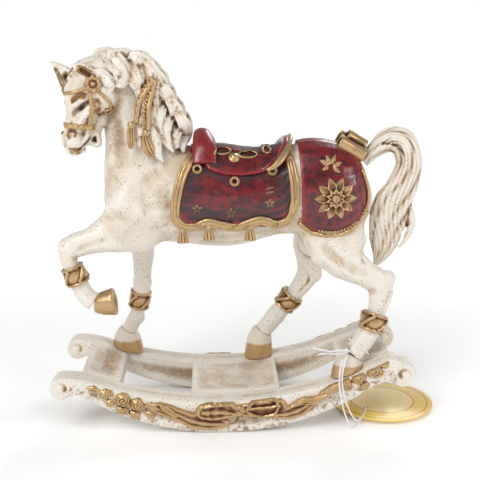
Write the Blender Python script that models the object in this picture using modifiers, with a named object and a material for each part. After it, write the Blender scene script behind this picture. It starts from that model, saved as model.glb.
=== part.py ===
"""Cast rocking-horse figurine: a trotting horse on a pair of curved rockers.

The horse faces -X, its left side is at -Y and the rockers touch the ground at Z 0.
The layout is written in millimetres and is turned into metres where a mesh is made.
One empty carries every part and puts the middle of the whole figurine at X 0.
"""

import math

import bmesh
import bpy
from mathutils import Matrix, Vector

# ---- driving dimensions, millimetres ----
MILLIMETRE = 0.001
LAYOUT_CENTRE_X = 3.05
GAP = 0.3
CUTTER_HALF_WIDTH = 40.0
RING_SIDES = 18
LEG_SIDES = 16
TORSO_SIDES = 26
STATION_STEPS = 2

ROCKER_THICKNESS = 12.0
ROCKER_MIDDLE_Y = 27.0
ROCKER_OUTER_Y = ROCKER_MIDDLE_Y + ROCKER_THICKNESS / 2
ROCKER_INNER_Y = ROCKER_MIDDLE_Y - ROCKER_THICKNESS / 2
RUNNER_RADIUS = 136.0
RUNNER_REST_HALF_LENGTH = 8.0
RUNNER_CENTRE = (-4.5, math.sqrt(RUNNER_RADIUS**2 - RUNNER_REST_HALF_LENGTH**2))
RUNNER_FRONT_X = -76.0
RUNNER_REAR_X = 75.0
DECK_CENTRE = (-7.5, 210.6)
DECK_RADIUS = 192.5
FRONT_SCROLL = (-89.3, 26.2, 6.2)
REAR_SCROLL = (90.4, 31.4, 6.9)
BOARD_THICKNESS = 8.0
BOARD_SPANS = {
    "front_board": (-80.0, -60.0),
    "middle_board": (-22.0, 26.0),
    "rear_board": (60.0, 84.0),
}

PIN_RADIUS = 1.0
PIN_DEPTH = 9.0
PIN_RISE = 15.0
HOOF_PLACES = {
    "left_hind": (61.6, -26.0),
    "right_fore": (-60.0, 24.5),
    "right_hind": (17.0, 24.5),
}

CLOTH_THICKNESS = 1.0
CLOTH_LIFT = 0.4
TRIM_RADIUS = 1.1
BOW_RADIUS = 2.8
BOW_STATIONS = ((55.8, 0.7), (58.6, 1.0), (61.2, 1.0), (63.6, 1.0), (65.6, 0.7))
SADDLE_THICKNESS = 1.6
SADDLE_LIFT = CLOTH_LIFT + CLOTH_THICKNESS + GAP + 0.1
TRIM_LIFT = CLOTH_LIFT + CLOTH_THICKNESS + GAP + TRIM_RADIUS

STRING_RADIUS = 0.45
TAG_RADIUS = 28.5
TAG_THICKNESS = 0.7
TAG_CENTRE = (86.5, 0.0)
TAG_TILT = math.radians(2.5)
TAG_HOLE = (75.7, -10.4)
TAG_HOLE_RADIUS = 1.4

# ---- body stations: x, top, widest height, bottom, half width ----
TORSO_STATIONS = [
    (-66.8, 126.0, 121.0, 116.5, 4.0),
    (-64.5, 136.0, 120.5, 106.5, 10.5),
    (-59.0, 143.0, 119.5, 98.5, 15.5),
    (-50.0, 149.0, 119.5, 93.5, 18.5),
    (-39.0, 151.0, 120.0, 97.5, 19.8),
    (-27.0, 150.0, 120.5, 97.0, 20.6),
    (-14.0, 147.6, 120.5, 95.2, 21.2),
    (0.0, 146.2, 120.0, 94.8, 21.6),
    (12.0, 144.6, 119.5, 97.2, 21.4),
    (24.0, 146.2, 120.0, 100.8, 20.8),
    (36.0, 150.6, 121.5, 101.0, 20.6),
    (47.0, 151.2, 122.0, 96.5, 20.8),
    (57.0, 149.0, 121.5, 95.0, 20.2),
    (65.0, 145.0, 121.0, 98.0, 17.6),
    (71.0, 137.5, 120.5, 104.0, 13.0),
    (75.2, 126.5, 120.0, 113.0, 5.5),
]

# ---- limb stations: x, y, z, fore-and-aft radius, sideways radius ----
NECK_STATIONS = [
    (-40.0, 0.0, 110.0, 20.0, 13.0),
    (-42.5, 0.0, 124.0, 23.0, 15.5),
    (-44.0, 0.0, 137.0, 22.6, 14.6),
    (-46.0, -0.6, 150.0, 20.0, 12.8),
    (-49.5, -1.4, 162.0, 16.6, 11.2),
    (-53.5, -2.4, 173.0, 14.2, 10.0),
    (-58.5, -3.6, 182.5, 11.6, 9.0),
    (-64.5, -5.0, 187.5, 8.6, 8.0),
    (-70.0, -6.0, 188.5, 5.5, 5.5),
]
HEAD_STATIONS = [
    (-70.0, -5.5, 190.0, 5.5, 5.0),
    (-70.4, -6.0, 186.0, 10.5, 7.6),
    (-70.5, -7.5, 180.0, 13.6, 9.2),
    (-70.6, -8.8, 173.5, 14.3, 9.6),
    (-73.2, -10.0, 166.0, 11.8, 9.0),
    (-76.0, -11.2, 159.5, 9.2, 7.4),
    (-76.8, -12.2, 154.0, 8.5, 6.8),
    (-76.2, -12.8, 149.6, 6.4, 5.8),
    (-75.4, -13.0, 146.4, 3.0, 3.4),
]
EAR_STATIONS = {
    "left": [
        (-68.5, -13.0, 180.0, 3.8, 2.6),
        (-73.2, -14.2, 187.0, 3.5, 2.3),
        (-78.4, -14.4, 191.2, 0.6, 0.5),
    ],
    "right": [
        (-80.4, -4.5, 177.0, 4.6, 2.8),
        (-83.6, -2.6, 186.0, 4.2, 2.5),
        (-91.8, 0.0, 192.2, 0.5, 0.4),
    ],
}
FORELOCK_STATIONS = [
    (-71.0, -8.4, 192.6, 2.2, 2.8),
    (-77.0, -11.4, 189.0, 2.6, 3.2),
    (-80.8, -13.6, 183.0, 2.4, 2.8),
    (-82.6, -15.0, 177.4, 1.2, 1.4),
]
TAIL_STATIONS = [
    (70.0, 0.0, 137.5, 3.2, 3.6),
    (76.6, 0.0, 145.4, 4.0, 4.4),
    (84.0, 0.0, 151.2, 5.6, 5.2),
    (91.6, 0.0, 148.2, 7.0, 6.0),
    (94.4, -0.4, 138.6, 7.1, 6.4),
    (91.4, -0.8, 127.0, 8.4, 6.8),
    (86.8, -1.0, 115.0, 9.2, 7.0),
    (85.4, -1.0, 104.0, 8.6, 6.4),
    (85.0, -0.6, 95.0, 6.6, 5.0),
    (82.6, 0.0, 85.0, 1.8, 1.8),
]
LEG_STATIONS = {
    "left_foreleg": [
        (-46.0, -11.0, 112.0, 15.0, 6.5),
        (-55.0, -12.6, 106.5, 12.4, 7.0),
        (-66.0, -13.6, 103.4, 8.6, 6.4),
        (-76.0, -14.0, 100.6, 6.8, 5.6),
        (-83.6, -14.0, 97.6, 6.6, 5.4),
        (-85.0, -14.0, 91.6, 4.6, 4.8),
        (-83.0, -14.2, 86.0, 4.2, 4.2),
        (-80.0, -14.4, 78.6, 4.6, 4.4),
        (-77.4, -14.6, 72.2, 5.0, 4.6),
        (-72.8, -14.8, 68.4, 5.0, 4.8),
    ],
    "right_foreleg": [
        (-48.0, 11.0, 112.0, 11.5, 7.0),
        (-48.0, 14.0, 98.0, 9.0, 7.0),
        (-48.6, 16.5, 87.0, 6.6, 6.0),
        (-49.6, 18.4, 76.0, 5.2, 5.0),
        (-50.2, 19.6, 67.0, 5.0, 5.0),
        (-51.4, 20.6, 59.0, 4.7, 4.6),
        (-53.0, 21.6, 51.0, 4.0, 4.2),
        (-56.4, 22.8, 43.0, 4.4, 4.6),
        (-58.8, 23.6, 38.0, 4.4, 4.6),
    ],
    "left_hind_leg": [
        (54.0, -9.5, 122.0, 17.0, 8.0),
        (54.0, -11.5, 108.0, 20.2, 9.0),
        (56.4, -13.0, 97.0, 15.8, 8.6),
        (61.4, -14.6, 88.6, 10.8, 7.4),
        (70.8, -16.0, 82.6, 7.2, 6.2),
        (79.0, -17.2, 76.8, 7.2, 5.6),
        (78.6, -18.4, 68.6, 5.8, 5.0),
        (76.6, -19.6, 60.0, 4.8, 4.6),
        (73.2, -21.4, 51.6, 5.4, 5.0),
        (67.4, -24.0, 44.4, 5.4, 5.0),
        (63.8, -25.6, 40.2, 5.0, 4.8),
    ],
    "right_hind_leg": [
        (50.0, 10.0, 118.0, 15.0, 8.0),
        (47.6, 13.0, 104.0, 14.0, 8.6),
        (45.4, 15.2, 92.0, 10.8, 7.6),
        (45.6, 17.2, 82.0, 8.0, 6.2),
        (45.2, 18.6, 73.0, 7.0, 5.4),
        (41.0, 19.8, 65.0, 5.6, 4.8),
        (35.4, 21.0, 57.2, 4.8, 4.6),
        (29.8, 22.2, 50.0, 5.2, 4.8),
        (24.4, 23.4, 42.4, 5.4, 5.0),
        (19.6, 24.2, 36.0, 5.0, 5.0),
    ],
}
HOOF_STATIONS = {
    "left_fore": [
        (-72.0, -14.8, 67.8, 5.2, 5.0),
        (-67.8, -15.0, 67.6, 6.4, 6.2),
        (-61.6, -15.2, 68.6, 7.4, 7.2),
    ],
    "right_fore": [
        (-58.8, 23.8, 38.0, 5.2, 5.4),
        (-60.0, 24.2, 34.0, 7.6, 6.6),
        (-60.2, 24.5, 24.0, 9.4, 7.6),
    ],
    "left_hind": [
        (63.4, -25.8, 41.0, 6.0, 5.4),
        (61.8, -26.0, 37.0, 7.6, 6.0),
        (61.0, -26.2, 27.0, 8.6, 6.4),
    ],
    "right_hind": [
        (19.6, 24.2, 36.4, 5.6, 5.4),
        (17.6, 24.4, 31.0, 7.4, 6.6),
        (16.8, 24.5, 17.0, 8.6, 7.4),
    ],
}
CUFF_STATIONS = {
    "left_foreleg_cuff": [
        (-83.8, -14.1, 88.4, 6.4, 6.4),
        (-80.2, -14.4, 79.6, 6.8, 6.6),
        (-79.4, -14.5, 77.4, 6.4, 6.2),
    ],
    "right_foreleg_cuff": [
        (-50.6, 20.2, 64.2, 6.4, 6.4),
        (-51.8, 20.9, 57.0, 6.8, 6.6),
        (-53.0, 21.5, 51.4, 6.2, 6.2),
    ],
    "left_hind_cuff": [
        (77.0, -19.3, 62.2, 7.0, 6.8),
        (75.0, -20.5, 56.6, 7.8, 7.2),
        (73.4, -21.4, 52.0, 7.4, 7.0),
    ],
    "right_hind_cuff": [
        (37.6, 20.5, 60.4, 7.2, 6.8),
        (33.6, 21.3, 55.2, 7.6, 7.0),
        (30.4, 22.0, 51.0, 7.2, 6.8),
    ],
}

# ---- scrolled rockers, round the corners between arcs ----
REAR_SCROLL_NECK = (81.0, 27.6)
FRONT_SCROLL_NECK = (-82.0, 22.9)
DECK_HALF_LENGTH = 84.0
FRONT_SCROLL_TOP = (-DECK_HALF_LENGTH, 32.3)
OUTLINE_STEPS = 12
ROCKER_BEVEL = 0.7

# ---- relief on the rockers: places in (x, z), and a size ----
ROSE_PROFILE = [(0.0, 2.6), (1.1, 2.1), (1.4, 1.5), (2.4, 1.7), (3.9, 0.0), (0.0, 0.0)]
LEAF_THICKNESS = 0.8
FRONT_ROSES = [
    (-68.0, 24.0, 0.75),
    (-57.3, 20.4, 1.0),
    (-49.8, 17.0, 0.9),
    (-59.8, 13.4, 0.75),
    (-51.2, 9.4, 0.75),
]
REAR_ROSES = [(77.0, 31.6, 0.95), (69.4, 28.6, 0.85), (62.6, 25.4, 0.75), (70.4, 24.0, 0.55)]
FRONT_SPRAY = [
    (-71.0, 25.0),
    (-66.0, 19.0),
    (-60.0, 12.0),
    (-52.0, 8.0),
    (-45.5, 8.2),
    (-47.0, 16.0),
    (-54.0, 22.6),
    (-64.0, 26.6),
]
REAR_SPRAY = [(60.0, 23.0), (70.0, 22.0), (76.0, 28.0), (81.0, 35.0), (74.0, 34.6), (64.0, 29.6)]
RIBBON_RADIUS = 1.4
RIBBON_ROUTE = [
    (-41.0, 12.6, 0.55),
    (-34.0, 12.0, 1.0),
    (-26.0, 7.4, 1.0),
    (-16.0, 5.8, 0.9),
    (-6.0, 7.6, 1.0),
    (4.0, 10.4, 1.0),
    (14.0, 11.0, 1.0),
    (24.0, 12.8, 1.0),
    (34.0, 13.4, 1.0),
    (44.0, 16.6, 0.9),
    (54.0, 20.0, 0.6),
]

# ---- ornaments of the harness ----
FLOWER_STATION = (53.2, 124.0)
FLOWER_PROFILE = [
    (0.0, 2.4),
    (2.0, 2.1),
    (3.0, 1.4),
    (4.4, 1.9),
    (7.0, 1.9),
    (10.2, 1.0),
    (10.6, 0.0),
    (0.0, 0.0),
]
FLOWER_LIFT = CLOTH_LIFT + CLOTH_THICKNESS + 3.5 * GAP
TASSEL_PROFILE = [(0.0, 6.4), (0.9, 5.6), (1.5, 4.2), (2.0, 1.0), (1.8, 0.0), (0.0, 0.0)]
TASSEL_HEIGHT = TASSEL_PROFILE[0][1]
TASSEL_STATIONS = (-25.0, -11.6, 9.4)
CANTLE_RADIUS = 1.2
CANTLE_X = 29.2
CANTLE_SWEEP = 3.4
CANTLE_HALF_ANGLE = math.radians(44.0)
CANTLE_STEPS = 8
STRAP_RADIUS = 0.9
STRAP_SPAN = (160.5, 178.5)
ROSETTE_PROFILE = [(0.0, 1.9), (1.6, 1.5), (2.8, 0.9), (3.0, 0.0), (0.0, 0.0)]
ROSETTE_PLACES = {"left": (-66.4, -17.4, 182.2), "right": (-66.4, 4.6, 182.2)}
CORD_RADIUS = 1.1
MANE_CORDS = {
    "front": [(-38.0, 180.0), (-41.0, 172.0), (-44.0, 162.0), (-46.0, 152.0)],
    "rear": [(-34.0, 172.0), (-34.0, 163.0), (-36.0, 153.0), (-38.0, 146.0)],
}
EYE_PROFILE = [(0.0, 2.2), (1.1, 1.9), (1.9, 1.1), (2.2, 0.0), (1.9, -1.1), (1.1, -1.9), (0.0, -2.2)]
EYE_SOCKET_GROWTH = 1.14
EYE_PLACES = {"left": (-76.6, -17.6, 171.4), "right": (-79.6, -3.0, 171.8)}

# ---- elastic string: from the knot to the tag's hole and back, in (x, y, z) ----
STRING_ROUTE = [
    (59.8, -32.8, 43.4),
    (58.6, -34.2, 41.0),
    (57.6, -35.6, 37.2),
    (57.0, -36.3, 32.6),
    (57.4, -36.4, 27.0),
    (58.8, -36.3, 21.0),
    (60.6, -35.6, 15.4),
    (62.8, -34.4, 10.6),
    (65.4, -32.2, 6.4),
    (68.2, -29.0, 4.2),
    (71.0, -24.4, 3.8),
    (73.2, -18.6, 3.6),
    (74.8, -13.8, 3.4),
    (75.6, -11.0, 2.6),
    (75.6, -9.8, 1.4),
    (74.2, -11.2, 0.5),
    (72.0, -16.0, 0.5),
    (69.6, -21.6, 0.5),
    (67.2, -27.0, 0.5),
    (64.4, -31.6, 1.4),
    (61.8, -34.8, 5.0),
    (59.6, -36.4, 10.6),
    (57.8, -37.2, 16.0),
    (56.4, -37.6, 22.0),
    (55.6, -37.6, 28.0),
    (55.4, -37.2, 33.0),
    (56.0, -36.2, 38.0),
    (57.2, -34.6, 42.0),
]
STRING_RING = 0.86
KNOT_PLACE = (59.4, -32.0, 45.4)
KNOT_PROFILE = [(0.0, 1.3), (0.9, 1.0), (1.3, 0.2), (1.1, -0.8), (0.0, -1.3)]

# ---- mane and noseband, laid over the neck and the head ----
MANE_LIFT = 3.4
MANE_SHIFT = (2.2, 2.0)
MANE_GROWTH = 1.4
MANE_STATIONS = [
    (x + MANE_SHIFT[0], y, z + MANE_SHIFT[1], fore + MANE_GROWTH, side + MANE_LIFT)
    for x, y, z, fore, side in NECK_STATIONS[2:8]
]
THROAT_SIDE = [
    (-80.0, 120.0),
    (-44.0, 120.0),
    (-50.0, 160.0),
    (-62.5, 184.0),
    (-62.5, 205.0),
    (-110.0, 205.0),
]
WITHERS_SIDE = [
    (-60.0, 100.0),
    (20.0, 100.0),
    (20.0, 175.0),
    (-19.0, 175.0),
    (-19.0, 152.0),
    (-30.0, 138.0),
    (-60.0, 136.0),
]
SADDLERY_ZONE = [(-32.5, 100.4), (78.0, 100.4), (78.0, 160.0), (-32.5, 160.0)]
NOSEBAND_STATIONS = [(-76.0, -11.3, 159.4, 10.6, 8.8), (-76.6, -11.9, 155.8, 10.4, 8.7)]

# ---- finishes: colour, roughness, metallic ----
IVORY = ((0.72, 0.66, 0.55), 0.55, 0.0)
ANTIQUE_GOLD = ((0.62, 0.42, 0.20), 0.35, 0.85)
RED_ENAMEL = ((0.30, 0.03, 0.03), 0.22, 0.0)
DARK_EYE = ((0.03, 0.02, 0.02), 0.15, 0.0)
STEEL = ((0.55, 0.55, 0.56), 0.35, 1.0)
ELASTIC = ((0.88, 0.86, 0.92), 0.6, 0.0)
CARD = ((0.80, 0.66, 0.18), 0.5, 0.0)


# ---- scene set-up and small helpers ----
def clear_scene():
    """Remove whatever the file holds already."""
    for old in list(bpy.data.objects):
        bpy.data.objects.remove(old, do_unlink=True)


def new_collection(name):
    """A collection linked to the scene."""
    collection = bpy.data.collections.new(name)
    bpy.context.scene.collection.children.link(collection)
    return collection


clear_scene()
PARTS = new_collection("rocking_horse")
CUTTERS = new_collection("cutters")
ROOT = bpy.data.objects.new("figurine_centre", None)
ROOT.location = (-LAYOUT_CENTRE_X * MILLIMETRE, 0.0, 0.0)
PARTS.objects.link(ROOT)


def paint(part, finish):
    """Give a part its own Principled material."""
    colour, roughness, metallic = finish
    material = bpy.data.materials.new(part.name + "_finish")
    material.use_nodes = True
    shader = material.node_tree.nodes["Principled BSDF"]
    shader.inputs["Base Color"].default_value = (*colour, 1.0)
    shader.inputs["Roughness"].default_value = roughness
    shader.inputs["Metallic"].default_value = metallic
    part.data.materials.append(material)


def place(name, data, finish=None):
    """Link mesh or curve data as a part, or as a cutter where it has no finish."""
    part = bpy.data.objects.new(name, data)
    part.parent = ROOT
    if finish is None:
        part.hide_render = True
        part.display_type = "WIRE"
        CUTTERS.objects.link(part)
    else:
        PARTS.objects.link(part)
        paint(part, finish)
    return part


def finish_mesh(name, shape, finish=None, smooth_angle=40.0):
    """Turn a bmesh in millimetres into a part in metres."""
    bmesh.ops.scale(shape, vec=Vector((MILLIMETRE,) * 3), verts=shape.verts)
    bmesh.ops.recalc_face_normals(shape, faces=shape.faces)
    data = bpy.data.meshes.new(name)
    shape.to_mesh(data)
    shape.free()
    data.shade_smooth()
    data.set_sharp_from_angle(angle=math.radians(smooth_angle))
    return place(name, data, finish)


def boolean(part, operation, other):
    """Cut a part by another solid, or join the two."""
    modifier = part.modifiers.new(operation.lower() + "_" + other.name, "BOOLEAN")
    modifier.operation = operation
    modifier.solver = "EXACT"
    modifier.object = other


def cut(part, *cutters):
    """Take each cutter away from a part."""
    for cutter in cutters:
        boolean(part, "DIFFERENCE", cutter)


# ---- curves through stations ----
def catmull_rom(before, start, end, after, amount):
    """One value of a smooth curve through four neighbours."""
    square = amount * amount
    cube = square * amount
    return 0.5 * (
        2 * start
        + (end - before) * amount
        + (2 * before - 5 * start + 4 * end - after) * square
        + (3 * start - before - 3 * end + after) * cube
    )


def smooth_through(stations, steps, closed=False):
    """Stations with extra ones between them, on a smooth curve through them all."""
    count = len(stations)
    spans = count if closed else count - 1
    result = []
    for index in range(spans):
        if closed:
            four = [stations[(index + shift) % count] for shift in (-1, 0, 1, 2)]
        else:
            four = [stations[min(max(index + shift, 0), count - 1)] for shift in (-1, 0, 1, 2)]
        for step in range(steps):
            result.append(tuple(catmull_rom(*values, step / steps) for values in zip(*four)))
    if not closed:
        result.append(tuple(stations[-1]))
    return result


# ---- solids ----
def loft_into(shape, rings):
    """Skin a row of rings with the same number of points, and cap both ends."""
    loops = [[shape.verts.new(point) for point in ring] for ring in rings]
    for lower, upper in zip(loops, loops[1:]):
        count = len(lower)
        for index in range(count):
            follow = (index + 1) % count
            shape.faces.new((lower[index], lower[follow], upper[follow], upper[index]))
    shape.faces.new(list(reversed(loops[0])))
    shape.faces.new(loops[-1])


def limb_rings(stations, grow=0.0, steps=STATION_STEPS, sides=RING_SIDES):
    """Elliptical rings square to the path through the stations."""
    rows = smooth_through(stations, steps)
    centres = [Vector(row[:3]) for row in rows]
    rings = []
    for index, row in enumerate(rows):
        ahead = centres[min(index + 1, len(rows) - 1)]
        behind = centres[max(index - 1, 0)]
        along = (ahead - behind).normalized()
        fore = Vector((0.0, 1.0, 0.0)).cross(along).normalized()
        side = along.cross(fore)
        ring = []
        for step in range(sides):
            angle = math.tau * step / sides
            forward = fore * ((row[3] + grow) * math.cos(angle))
            sideways = side * ((row[4] + grow) * math.sin(angle))
            ring.append(centres[index] + forward + sideways)
        rings.append(ring)
    return rings


def limb(name, stations, finish=None, grow=0.0, steps=STATION_STEPS, sides=RING_SIDES):
    """A solid of elliptical sections, such as a leg or the neck."""
    shape = bmesh.new()
    loft_into(shape, limb_rings(stations, grow, steps, sides))
    return finish_mesh(name, shape, finish)


def slab(name, outline, low_y, high_y, finish=None):
    """A flat outline of (x, z) points carried from one Y to another."""
    shape = bmesh.new()
    verts = [shape.verts.new((x, low_y, z)) for x, z in outline]
    face = shape.faces.new(verts)
    grown = bmesh.ops.extrude_face_region(shape, geom=[face])
    moved = [item for item in grown["geom"] if isinstance(item, bmesh.types.BMVert)]
    bmesh.ops.translate(shape, verts=moved, vec=(0.0, high_y - low_y, 0.0))
    return finish_mesh(name, shape, finish)


def arc(centre, radius, start, end, steps):
    """Points on an arc in (x, z), from one angle to another, in radians."""
    points = []
    for step in range(steps + 1):
        angle = start + (end - start) * step / steps
        points.append((centre[0] + radius * math.cos(angle), centre[1] + radius * math.sin(angle)))
    return points


def turned_into(shape, profile, matrix, steps=12):
    """Spin a profile of (radius, height) points round its own Z and place it by a matrix."""
    start = [shape.verts.new((radius, 0.0, height)) for radius, height in profile]
    edges = [shape.edges.new(pair) for pair in zip(start, start[1:])]
    spun = bmesh.ops.spin(
        shape,
        geom=start + edges,
        axis=(0.0, 0.0, 1.0),
        cent=(0.0, 0.0, 0.0),
        angle=math.tau,
        steps=steps,
        use_merge=True,
    )
    found = set(start)
    found.update(item for item in spun["geom_last"] if isinstance(item, bmesh.types.BMVert))
    frontier = list(found)
    while frontier:
        vert = frontier.pop()
        for edge in vert.link_edges:
            other = edge.other_vert(vert)
            if other not in found:
                found.add(other)
                frontier.append(other)
    verts = [vert for vert in found if vert.is_valid]
    bmesh.ops.remove_doubles(shape, verts=verts, dist=0.01)
    verts = [vert for vert in verts if vert.is_valid]
    bmesh.ops.transform(shape, matrix=matrix, verts=verts)


def turned(name, matrix, profile, finish=None, steps=12):
    """One turned solid, placed by its matrix."""
    shape = bmesh.new()
    turned_into(shape, profile, matrix, steps)
    return finish_mesh(name, shape, finish)


def facing(point, normal):
    """The matrix that puts a turned solid on a point with its axis along a normal."""
    turn = Vector((0.0, 0.0, 1.0)).rotation_difference(Vector(normal)).to_matrix().to_4x4()
    return Matrix.Translation(Vector(point)) @ turn


def tube(name, points, radius, finish, closed=False, sides=2):
    """A round tube along points; a fourth number widens or narrows it there."""
    curve = bpy.data.curves.new(name, "CURVE")
    curve.dimensions = "3D"
    curve.bevel_depth = radius * MILLIMETRE
    curve.bevel_resolution = sides
    curve.use_fill_caps = True
    spline = curve.splines.new("POLY")
    spline.points.add(len(points) - 1)
    for target, point in zip(spline.points, points):
        target.co = (*[value * MILLIMETRE for value in point[:3]], 1.0)
        target.radius = point[3] if len(point) > 3 else 1.0
    spline.use_cyclic_u = closed
    return place(name, curve, finish)


def cord(name, points, radius, finish=None, sides=6):
    """A round tube as a mesh, so that a tassel can be joined to it."""
    return limb(name, [(*point[:3], radius, radius) for point in points], finish, steps=1, sides=sides)


# ---- the torso as a formula that the saddlery follows ----
def torso_at(x):
    """Top, widest height, bottom and half width of the torso at a station."""
    low = 0
    while low < len(TORSO_STATIONS) - 2 and TORSO_STATIONS[low + 1][0] < x:
        low += 1
    span = TORSO_STATIONS[low + 1][0] - TORSO_STATIONS[low][0]
    amount = min(max((x - TORSO_STATIONS[low][0]) / span, 0.0), 1.0)
    last = len(TORSO_STATIONS) - 1
    four = [TORSO_STATIONS[min(max(low + shift, 0), last)] for shift in (-1, 0, 1, 2)]
    return [catmull_rom(*values, amount) for values in zip(*four)][1:]


def torso_skin(x, angle):
    """A point on the torso; angle runs from 0 at the back to pi at the belly, plus on the left side."""
    top, widest, bottom, half_width = torso_at(x)
    height = top - widest if abs(angle) < math.pi / 2 else widest - bottom
    return Vector((x, -half_width * math.sin(angle), widest + height * math.cos(angle)))


def torso_normal(x, angle):
    """The outward direction of the torso's skin."""
    along = torso_skin(x + 0.5, angle) - torso_skin(x - 0.5, angle)
    around = torso_skin(x, angle + 0.02) - torso_skin(x, angle - 0.02)
    return around.cross(along).normalized()


def torso_point(x, angle, lift=0.0):
    """A point off the torso by a lift square to its skin."""
    return torso_skin(x, angle) + torso_normal(x, angle) * lift


def torso_angle(x, z):
    """The angle at which the torso's side reaches a height."""
    top, widest, bottom, _ = torso_at(x)
    height = top - widest if z > widest else widest - bottom
    return math.acos(min(max((z - widest) / height, -1.0), 1.0))


def side_place(x, z, lift, side):
    """The matrix of an ornament on the torso's side; side is 1 on the left, -1 on the right."""
    angle = side * torso_angle(x, z)
    return facing(torso_point(x, angle, lift), torso_normal(x, angle))


def torso_rings(grow=0.0):
    """Rings of the torso from chest to rump, grown by a clearance."""
    first = TORSO_STATIONS[0][0]
    last = TORSO_STATIONS[-1][0]
    middle = (first + last) / 2
    stretch = 1.0 + 2 * grow / (last - first)
    stations = []
    for (here, *_), (ahead, *_) in zip(TORSO_STATIONS, TORSO_STATIONS[1:]):
        stations += [here, (here + ahead) / 2]
    stations.append(last)
    rings = []
    for x in stations:
        ring = []
        for step in range(TORSO_SIDES):
            angle = math.tau * step / TORSO_SIDES
            signed = angle if angle <= math.pi else angle - math.tau
            top, widest, bottom, half_width = torso_at(x)
            height = (top - widest if abs(signed) < math.pi / 2 else widest - bottom) + grow
            point = (-(half_width + grow) * math.sin(signed), widest + height * math.cos(signed))
            ring.append(Vector((middle + (x - middle) * stretch, *point)))
        rings.append(ring)
    return rings


def make_torso(name, finish=None, grow=0.0):
    """The barrel of the horse, or a cutter of its shape."""
    shape = bmesh.new()
    loft_into(shape, torso_rings(grow))
    return finish_mesh(name, shape, finish)


# ---- the base ----
def deck_z(x):
    """Height of the rockers' and boards' upper face."""
    return DECK_CENTRE[1] - math.sqrt(DECK_RADIUS**2 - (x - DECK_CENTRE[0]) ** 2)


def runner_z(x):
    """Height of the rockers' lower edge."""
    return RUNNER_CENTRE[1] - math.sqrt(RUNNER_RADIUS**2 - (x - RUNNER_CENTRE[0]) ** 2)


def rocker_outline():
    """Closed outline: along the runner, round the rear scroll, back along the deck, round the front one."""
    steps = OUTLINE_STEPS
    outline = []
    front = RUNNER_CENTRE[0] - RUNNER_REST_HALF_LENGTH
    rear = RUNNER_CENTRE[0] + RUNNER_REST_HALF_LENGTH
    for step in range(steps):
        x = RUNNER_FRONT_X + (front - RUNNER_FRONT_X) * step / steps
        outline.append((x, runner_z(x)))
    outline.append((front, 0.0))
    outline.append((rear, 0.0))
    for step in range(1, steps + 1):
        x = rear + (RUNNER_REAR_X - rear) * step / steps
        outline.append((x, runner_z(x)))
    outline.append(REAR_SCROLL_NECK)
    outline += arc(REAR_SCROLL[:2], REAR_SCROLL[2], math.radians(-125), math.radians(95), steps)
    for step in range(2 * steps):
        x = DECK_HALF_LENGTH * (1 - step / steps)
        outline.append((x, deck_z(x)))
    outline.append(FRONT_SCROLL_TOP)
    outline += arc(FRONT_SCROLL[:2], FRONT_SCROLL[2], math.radians(90), math.radians(310), steps)
    outline.append(FRONT_SCROLL_NECK)
    return outline


def make_rocker(name, side):
    """One rocker; its rest facet is flat so that the figurine stands still when nobody rocks it."""
    middle = -side * ROCKER_MIDDLE_Y
    half = ROCKER_THICKNESS / 2
    rocker = slab(name, rocker_outline(), middle - half, middle + half, IVORY)
    bevel = rocker.modifiers.new("soft_edges", "BEVEL")
    bevel.width = ROCKER_BEVEL * MILLIMETRE
    bevel.segments = 1
    bevel.limit_method = "ANGLE"
    bevel.angle_limit = math.radians(60)
    return rocker


def make_board(name, first_x, last_x):
    """A cross board that follows the deck's curve between the rockers."""
    steps = 6
    stations = [first_x + (last_x - first_x) * step / steps for step in range(steps + 1)]
    outline = [(x, deck_z(x)) for x in stations]
    outline += [(x, deck_z(x) - BOARD_THICKNESS) for x in reversed(stations)]
    half = ROCKER_INNER_Y - GAP
    return slab(name, outline, -half, half, IVORY)


def deck_cutter():
    """Everything under the deck, with clearance, to trim the hooves that stand on it."""
    half_length = DECK_HALF_LENGTH + ROCKER_THICKNESS / 2
    steps = 15
    stations = [half_length * step / steps for step in range(-steps, steps + 1)]
    outline = [(x, deck_z(x) + GAP) for x in stations]
    outline += [(half_length, -BOARD_THICKNESS), (-half_length, -BOARD_THICKNESS)]
    return slab("deck_cutter", outline, -CUTTER_HALF_WIDTH, CUTTER_HALF_WIDTH)


def rocker_face(x, z, side, scale=1.0):
    """The matrix of an ornament on a rocker's outer face."""
    where = facing((x, -side * (ROCKER_OUTER_Y + GAP), z), (0.0, -side, 0.0))
    return where @ Matrix.Scale(scale, 4)


def rose_spray(name, outline, roses, side):
    """Roses on one leafy backing."""
    near = -side * (ROCKER_OUTER_Y + GAP)
    far = near - side * LEAF_THICKNESS
    spray = slab(name, outline, min(near, far), max(near, far), ANTIQUE_GOLD)
    for index, (x, z, scale) in enumerate(roses):
        rose = turned(f"{name}_{index}", rocker_face(x, z, side, scale), ROSE_PROFILE, steps=8)
        boolean(spray, "UNION", rose)


def make_ornaments(word, side):
    """The relief on one rocker: roses at both ends and a ribbon with a bow between them."""
    rose_spray(word + "_front_roses", FRONT_SPRAY, FRONT_ROSES, side)
    rose_spray(word + "_rear_roses", REAR_SPRAY, REAR_ROSES, side)
    y = -side * (ROCKER_OUTER_Y + GAP + RIBBON_RADIUS)
    ribbon = [(x, y, z, width) for x, z, width in RIBBON_ROUTE]
    tube(word + "_ribbon_swag", smooth_through(ribbon, 2), RIBBON_RADIUS, ANTIQUE_GOLD)


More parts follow.
